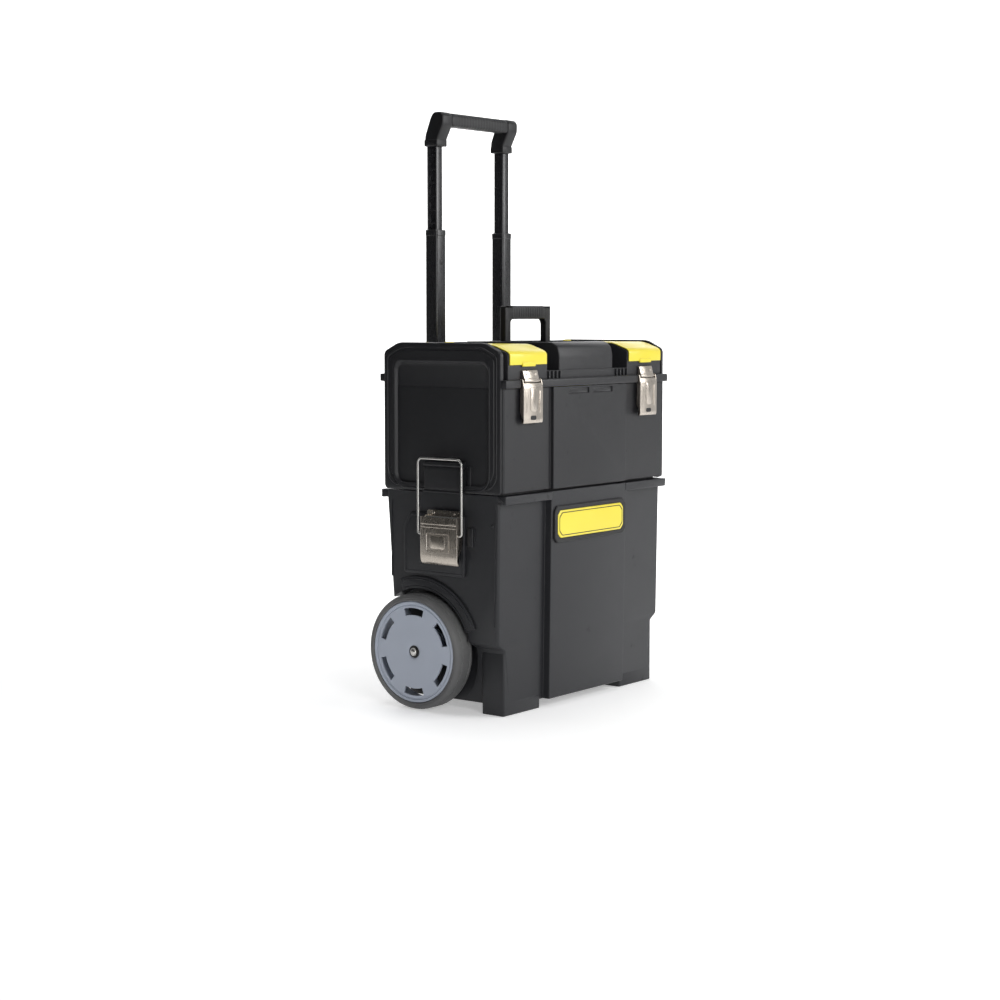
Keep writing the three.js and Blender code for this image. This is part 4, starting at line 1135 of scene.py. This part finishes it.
@dataclass
class ToolBoxShell:
    """The tool box that lifts off: trough, end plates, rear deck, catch ledges, tray and hinge pin."""

    face: float = 220.0
    plate: float = 7.2
    half_y: float = 112.5
    front: float = -115.5
    proud: float = 6.0
    panel: float = 98.5
    bay: float = 106.0
    bay_y: float = 89.5
    seam: float = 334.3
    lid_z: float = 492.2
    low: float = 335.0
    high: float = 558.5
    wall: float = 3.2
    hinge_y: float = 79.0
    hinge_z: float = 555.2
    hinge_radius: float = 3.2
    deck_front: float = 76.8
    step_y: float = 82.6
    step_z: float = 550.6

    def trough(self) -> Shell:
        """The walls and floor: plans stacked outside, carved by inside plans and by two finger slots."""
        half = self.face - 3.5
        outline = box_plan(half, self.front, self.half_y, self.panel, self.proud, self.bay, self.bay_y, 4)
        foot = self.seam + 3.2
        outer = stacked([(inset(outline, 0.6), foot), (outline, foot + 0.6), (outline, self.lid_z - 0.3),
                         (inset(outline, 0.3), self.lid_z)], Axis.Z)
        wall = self.wall
        room = box_plan(213, self.front + wall, self.half_y - wall, self.panel - wall, self.proud,
                        self.bay + wall, self.bay_y - wall, 4)
        cavity = stacked([(inset(room, 0.4), foot + 2), (room, foot + 2.4), (room, self.lid_z + 3)], Axis.Z)
        slot = block(5, 59, -130, self.front - self.proud + 2.8, 481, 489.6, 1.6, 1.2)
        return carved(outer, [cavity, *both_sides(slot)])

    def decks(self) -> list[Shell]:
        """The beam behind the lid, chamfered at its ends, with rims and hinge knuckles, and the spigot
        under the box."""
        z0, z1, y0, y1 = self.lid_z - 6, self.high, self.deck_front, self.half_y - 0.3
        step_y, step_z, bay_y = self.step_y, self.step_z, self.bay_y
        middle = soft_polygon([(y0, z0), (bay_y, z0), (bay_y, z1 - 3), (bay_y - 2, z1), (step_y, z1),
                               (step_y, step_z), (y0, step_z)], [0.5, 0.5, 1, 1, 1, 1, 0.8], 3)
        outer = soft_polygon([(y0, z0), (y1, z0), (y1, z1 - 14.4), (84, z1 - 0.2), (step_y, z1 - 0.2),
                              (step_y, step_z), (y0, step_z)], [0.5, 0.5, 5, 0.6, 0.3, 1, 0.8], 3)
        shells = [slab(middle, -self.bay - 2, self.bay + 2, Axis.X, 0.4, 2)]
        shells += both_sides(slab(outer, self.bay, self.face - 6, Axis.X, 1.0, 3))
        rim = soft_polygon([(108, 499), (121.8, 500), (121.8, 511), (108, 512)], [0.5, 1.5, 1.5, 0.5], 3)
        shells += both_sides(slab(rim, self.bay, self.face - 2, Axis.X, 1.2, 3))
        for x in (-170, -60, 60, 170):
            barrel = circle(self.hinge_radius, 20, (self.hinge_y, self.hinge_z))
            shells.append(slab(barrel, x - 14, x + 14, Axis.X, 0.5, 2))
            knuckle = rectangle(self.hinge_y, 83.4, 550.4, 557, 0.6, 2)
            shells.append(slab(knuckle, x - 14, x + 14, Axis.X, 0.5, 2))
        spigot = rectangle(-self.face + 12, self.face - 12, -104, 86, 6, 4)
        shells.append(slab(spigot, self.seam - 5, self.seam + 4, Axis.Z, 0.8, 3))
        return shells

    def end_outline(self, depth: float, low_cut: float) -> Array:
        """The end's chamfered outline, moved inward by a depth, its lower corners rounded by a cut."""
        y, a, b = self.half_y - depth, self.low + depth * 0.95, self.high + 1.2 - depth
        chamfer_y, chamfer_z = 28.5 - depth * 0.25, 14 - depth * 0.1
        return soft_polygon([(-y, a), (y, a), (y, b - chamfer_z), (y - chamfer_y, b), (-y + chamfer_y, b),
                             (-y, b - chamfer_z)], [low_cut, low_cut, 6, 8, 8, 6], 8)

    def recess(self, grow: float) -> Array:
        """The let-in panel's outline, with the end outline's count of points."""
        y, a, b = 88 + grow, 343 - grow, 529 + grow
        return soft_polygon([(-y, a), (y, a), (y, b - 8), (y - 8, b), (-y + 8, b), (-y, b - 8)],
                            [20 + grow, 20 + grow, 5, 5, 5, 5], 8)

    def end_plate(self) -> Shell:
        """The end plate: outlines stacked along X and inward, from the back edge over a stepped moulded
        border to the let-in panel."""
        x = self.face
        levels = [(self.end_outline(0, 6), x - self.plate), (self.end_outline(0, 6), x - 2.4),
                  (self.end_outline(0.7, 7), x - 0.7), (self.end_outline(2.4, 9), x),
                  (self.end_outline(6.2, 24), x), (self.end_outline(6.8, 25), x + 0.9),
                  (self.end_outline(8.0, 25), x + 0.9), (self.end_outline(8.8, 26), x - 0.5),
                  (self.end_outline(11.6, 27), x - 0.5), (self.end_outline(12.4, 27), x + 0.5),
                  (self.recess(5.5), x + 0.5), (self.recess(4.6), x + 1.2), (self.recess(3.0), x + 1.2),
                  (self.recess(1.6), x + 0.2), (self.recess(-0.8), x - 3.6), (self.recess(-2.2), x - 4.2)]
        return stacked(levels, Axis.X)

    def side_trim(self) -> list[Shell]:
        """What stands on an end plate: its rib, the catch ledge and the ledge's rolled edges."""
        x = self.face
        shells = [slab(rectangle(-56, -49, 344, 376, 2, 3), x - 5, x - 1.4, Axis.X, 1.2, 3)]
        ledge = soft_polygon([(x - 5, 336), (x + 8, 336), (x + 9.2, 340), (x + 9.2, 372), (x + 8, 375),
                              (x - 5, 375)], [0.5, 2, 4, 3, 2, 0.5], 3)
        shells.append(slab(ledge, -44, 25.4, Axis.Y, 1.6, 3))
        top = soft_polygon([(x - 5, 374), (x + 10.4, 374.6), (x + 11, 377.4), (x + 9, 380.8), (x - 5, 380.8)],
                           [0.5, 1, 1, 1.5, 0.5], 3)
        lip = rectangle(x - 5, x + 10.6, 334.6, 337.8, 1, 3)
        shells += [slab(top, -45, 26.4, Axis.Y, 1.0, 3), slab(lip, -45, 26.4, Axis.Y, 1.0, 3)]
        return shells

    def build(self) -> None:
        """The trough with its decks and end plates, its side trim, and what it carries."""
        put("box_trough", [self.trough()], BOX_PLASTIC, "tool_box", ["tool_box_body"], bevel=0.6)
        put("box_decks", self.decks(), BOX_PLASTIC, "tool_box")
        dress("lid_hinge_pin", BRIGHT_STEEL)
        dress("inner_tray", TRAY_PLASTIC)
        for side in Side:
            tag = side.tag
            dress(f"tray_rest_{tag}", BOX_PLASTIC)
            put(f"box_end_{tag}", on_side(side, [self.end_plate()]), BOX_PLASTIC, "tool_box", crease=30)
            put(f"box_side_trim_{tag}", on_side(side, self.side_trim()), BOX_PLASTIC, "tool_box")


@dataclass
class LidShell:
    """The lid: a bent panel with a raised centre ridge, side channels, pockets, rim and hinge knuckles."""

    half: float = 205.4
    low: float = 492.5
    top: float = 555.6
    ceiling: float = 512.0
    floor: float = 517.0
    ridge_half: float = 72.0
    well_half: float = 66.0
    channel: float = 108.0
    pocket: float = 114.0
    latch_x: float = 156.0
    latch_clear: float = 25.5
    bail_y: float = 5.5
    bail_z: float = 532.0
    hinge_y: float = 79.0
    hinge_z: float = 555.2
    hinge_radius: float = 3.2

    def shell(self) -> Shell:
        """The side outline pushed along X, melted with the ridge and carved by channels, pockets, the bail's
        well and the room beneath."""
        side = soft_polygon([(-115.5, self.low), (76, self.low), (76, 550), (69, self.top), (-84, self.top),
                             (-115.5, 544)], [1.1, 1.1, 3, 4, 8, 3], 4)
        panel = slab(side, -self.half, self.half, Axis.X, 1.0, 3)
        nose = block(-self.channel, self.channel, -140, -70, self.floor, 600, 2)
        lanes = both_sides(block(self.ridge_half - 6, self.channel, -140, 54, self.floor, 600, 4))
        fronts = both_sides(block(self.pocket, 200, -112.5, -38, self.floor, 600, 5))
        rears = both_sides(block(self.pocket, 200, -35, 52, self.floor, 600, 5))
        room = block(-self.half + 3, self.half - 3, -112.5, 73, 480, self.ceiling, 5, 1)
        lowered = carved(panel, [nose, *lanes, *fronts, *rears, room])
        crest = soft_polygon([(-112.6, 508), (69, 508), (69, 559.5), (-98, 559.3), (-108.6, 553.6),
                              (-112.6, 540)], [2.4, 2.4, 2.4, 5, 5, 5], 5)
        ridge = slab(crest, -self.ridge_half, self.ridge_half, Axis.X, 2.0, 4)
        well = block(-self.well_half, self.well_half, -84, 24, self.floor, 600, 5, 1)
        reach = self.ridge_half + 3
        bore = slab(circle(3.8, 20, (self.bail_y, self.bail_z)), -reach, reach, Axis.X)
        return carved(lowered, [well, bore], [ridge])

    def rim(self) -> list[Shell]:
        """The front rim, left open at the latches, the ribs under the channels and the hinge knuckles."""
        z0, z1 = self.low + 0.3, self.low + 12.6
        section = soft_polygon([(-110, z0), (-121.4, z0), (-122, z0 + 2), (-122, z1 - 2), (-120.6, z1),
                                (-110, z1)], [0.5, 0.8, 1, 1, 1, 0.5], 3)
        inner, outer = self.latch_x - self.latch_clear, self.latch_x + self.latch_clear
        shells = [slab(section, -inner, inner, Axis.X, 0.8, 3)]
        shells += both_sides(slab(section, outer, 218, Axis.X, 0.8, 3))
        for x in np.linspace(76, 105, 4):
            rib = rectangle(x - 1.3, x + 1.3, 504, 516.4, 0.8, 2)
            shells += both_sides(slab(rib, -118.6, -114, Axis.Y, 0.7, 3))
        barrel = circle(self.hinge_radius, 20, (self.hinge_y, self.hinge_z))
        strap = rectangle(68, self.hinge_y, 552.6, 557.2, 0.6, 2)
        for x in (-115, 0, 115):
            shells += [slab(outline, x - 38, x + 38, Axis.X, 0.5, 2) for outline in (barrel, strap)]
        return shells

    def crest_lines(self) -> list[Shell]:
        """A shallow raised frame round the bail's well."""
        half = self.well_half + 2.6
        return [raised_frame(rectangle(-half, half, -87, 27, 5, 5), (0, 0.4, 1.5, 1.9), 559.0, 559.9, Axis.Z)]

    def build(self) -> None:
        """The lid's shell, rim and lines."""
        put("lid_moulding", [self.shell()], LID_PLASTIC, "lid", ["lid"], bevel=0.7)
        put("lid_rim", self.rim(), LID_PLASTIC, "lid")
        put("lid_lines", self.crest_lines(), LID_PLASTIC, "lid")


@dataclass
class Studio:
    """A pale floor that curves up into a backdrop, soft lights, a black card and the camera."""

    camera_at: Triple = (-2.557, -1.90295, 0.602)
    heading: float = -52.595
    pitch: float = 5.298
    lens: float = 72.18
    key_power: float = 64.0
    floor_near: float = -9.0
    floor_far: float = 3.4
    bend: float = 1.6
    backdrop_top: float = 7.0
    half_width: float = 9.0
    paper_glow: float = 0.35
    sky: float = 0.18

    def paper(self) -> bpy.types.Material:
        """Pale studio paper: off-white with a faint tooth, glowing a little so that it stays pale."""
        mat = bpy.data.materials.new("studio_paper")
        mat.use_nodes = True
        nodes, links = mat.node_tree.nodes, mat.node_tree.links
        shader = nodes["Principled BSDF"]
        tex = nodes.new("ShaderNodeTexNoise")
        tex.inputs["Scale"].default_value = 3.0
        ramp = nodes.new("ShaderNodeMapRange")
        ramp.inputs["To Min"].default_value = 0.82
        ramp.inputs["To Max"].default_value = 0.86
        links.new(nodes.new("ShaderNodeTexCoord").outputs["Object"], tex.inputs["Vector"])
        links.new(tex.outputs["Fac"], ramp.inputs["Value"])
        links.new(ramp.outputs["Result"], shader.inputs["Base Color"])
        shader.inputs["Roughness"].default_value = 0.85
        shader.inputs["Emission Color"].default_value = (1, 1, 1, 1)
        shader.inputs["Emission Strength"].default_value = self.paper_glow
        return mat

    def sweep(self) -> bpy.types.Object:
        """The floor: a profile that runs flat and then curves up, pushed sideways across the view."""
        turn = np.linspace(0, math.pi / 2, 17)
        far, bend = self.floor_far, self.bend
        run = np.concatenate([[self.floor_near, far], far + bend * np.sin(turn[1:]), [far + bend]])
        rise = np.concatenate([[0, 0], bend * (1 - np.cos(turn[1:])), [self.backdrop_top]])
        away = np.array([-math.sin(math.radians(self.heading)), math.cos(math.radians(self.heading))])
        aside = np.array([away[1], -away[0]])
        across = np.array([-self.half_width, self.half_width])
        flat = run[:, None, None] * away + across[None, :, None] * aside
        points = np.concatenate([flat, np.broadcast_to(rise[:, None, None], (*flat.shape[:2], 1))], -1)
        index = np.arange(len(run) - 1)[:, None] * 2
        faces = (index + np.array([[0, 1, 3, 2]])).tolist()
        mesh = bpy.data.meshes.new("studio_sweep")
        mesh.from_pydata(points.reshape(-1, 3).tolist(), [], faces)
        mesh.shade_smooth()
        mesh.materials.append(self.paper())
        return linked("studio_sweep", mesh)

    def flag(self) -> bpy.types.Object:
        """A black card beside the box, out of the picture, that keeps the near end dark."""
        mesh = bpy.data.meshes.new("black_flag")
        corners = [(-1.4, 0.0, 0.02), (-1.4, 2.8, 0.02), (-1.4, 2.8, 2.4), (-1.4, 0.0, 2.4)]
        mesh.from_pydata(corners, [], [[0, 1, 2, 3]])
        mat = bpy.data.materials.new("flag_cloth")
        mat.use_nodes = True
        shader = mat.node_tree.nodes["Principled BSDF"]
        shader.inputs["Base Color"].default_value = (0.01, 0.01, 0.01, 1)
        shader.inputs["Roughness"].default_value = 0.9
        mesh.materials.append(mat)
        card = linked("black_flag", mesh)
        card.visible_camera = False
        return card

    def lamp(self, name: str, at: Triple, size: Pair, power: float, target: Triple = (0, 0, 0.4)) -> None:
        """A soft area light that faces a target.

        Args:
            name: The light's name.
            at: Where it stands, in metres.
            size: Its width and height.
            power: Its power in watts.
            target: The point it faces.
        """
        data = bpy.data.lights.new(name, "AREA")
        data.shape, data.size, data.size_y = "RECTANGLE", size[0], size[1]
        data.energy = power
        lamp = linked(name, data)
        lamp.location = at
        aim = np.array(target) - np.array(at)
        lamp.rotation_euler = (math.atan2(math.hypot(aim[0], aim[1]), -aim[2]), 0,
                               math.atan2(aim[1], aim[0]) - math.pi / 2)

    def build(self) -> None:
        """Floor, lights, world and camera."""
        self.sweep()
        self.flag()
        self.lamp("key_softbox", (1.5, -2.6, 1.5), (1.8, 1.8), self.key_power)
        self.lamp("top_softbox", (0.1, 0.2, 2.8), (1.6, 1.6), 24)
        self.lamp("edge_strip", (-1.35, -2.0, 0.95), (0.6, 1.6), 20.0)
        self.lamp("rear_fill", (1.2, 2.4, 1.4), (1.4, 1.4), 20)
        self.lamp("backdrop_wash", (1.7, 1.3, 3.0), (2.6, 1.2), 150, (4.4, 3.4, 0.7))
        world = bpy.data.worlds.new("studio_world")
        world.use_nodes = True
        background = world.node_tree.nodes["Background"]
        background.inputs["Color"].default_value = (0.95, 0.97, 1.0, 1)
        background.inputs["Strength"].default_value = self.sky
        bpy.context.scene.world = world
        bpy.context.scene.view_settings.view_transform = "Standard"
        data = bpy.data.cameras.new("camera")
        data.lens, data.sensor_width = self.lens, 36.0
        camera = linked("camera", data)
        camera.location = self.camera_at
        camera.rotation_euler = (math.radians(90 - self.pitch), 0, math.radians(self.heading))
        bpy.context.scene.camera = camera


def main() -> None:
    """Builds every sub-assembly in order."""
    logging.basicConfig(level=logging.INFO, format="%(message)s")
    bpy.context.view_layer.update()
    for part in (BinShell(), Wheels(), NamePlate(), ToolBoxShell(), LidShell(), OrganizerCovers(),
                 CarryBail(), FrontLatches(), SideLatches(), PullHandle(), Studio()):
        LOG.info("building %s", type(part).__name__)
        part.build()


if __name__ == "__main__":
    main()
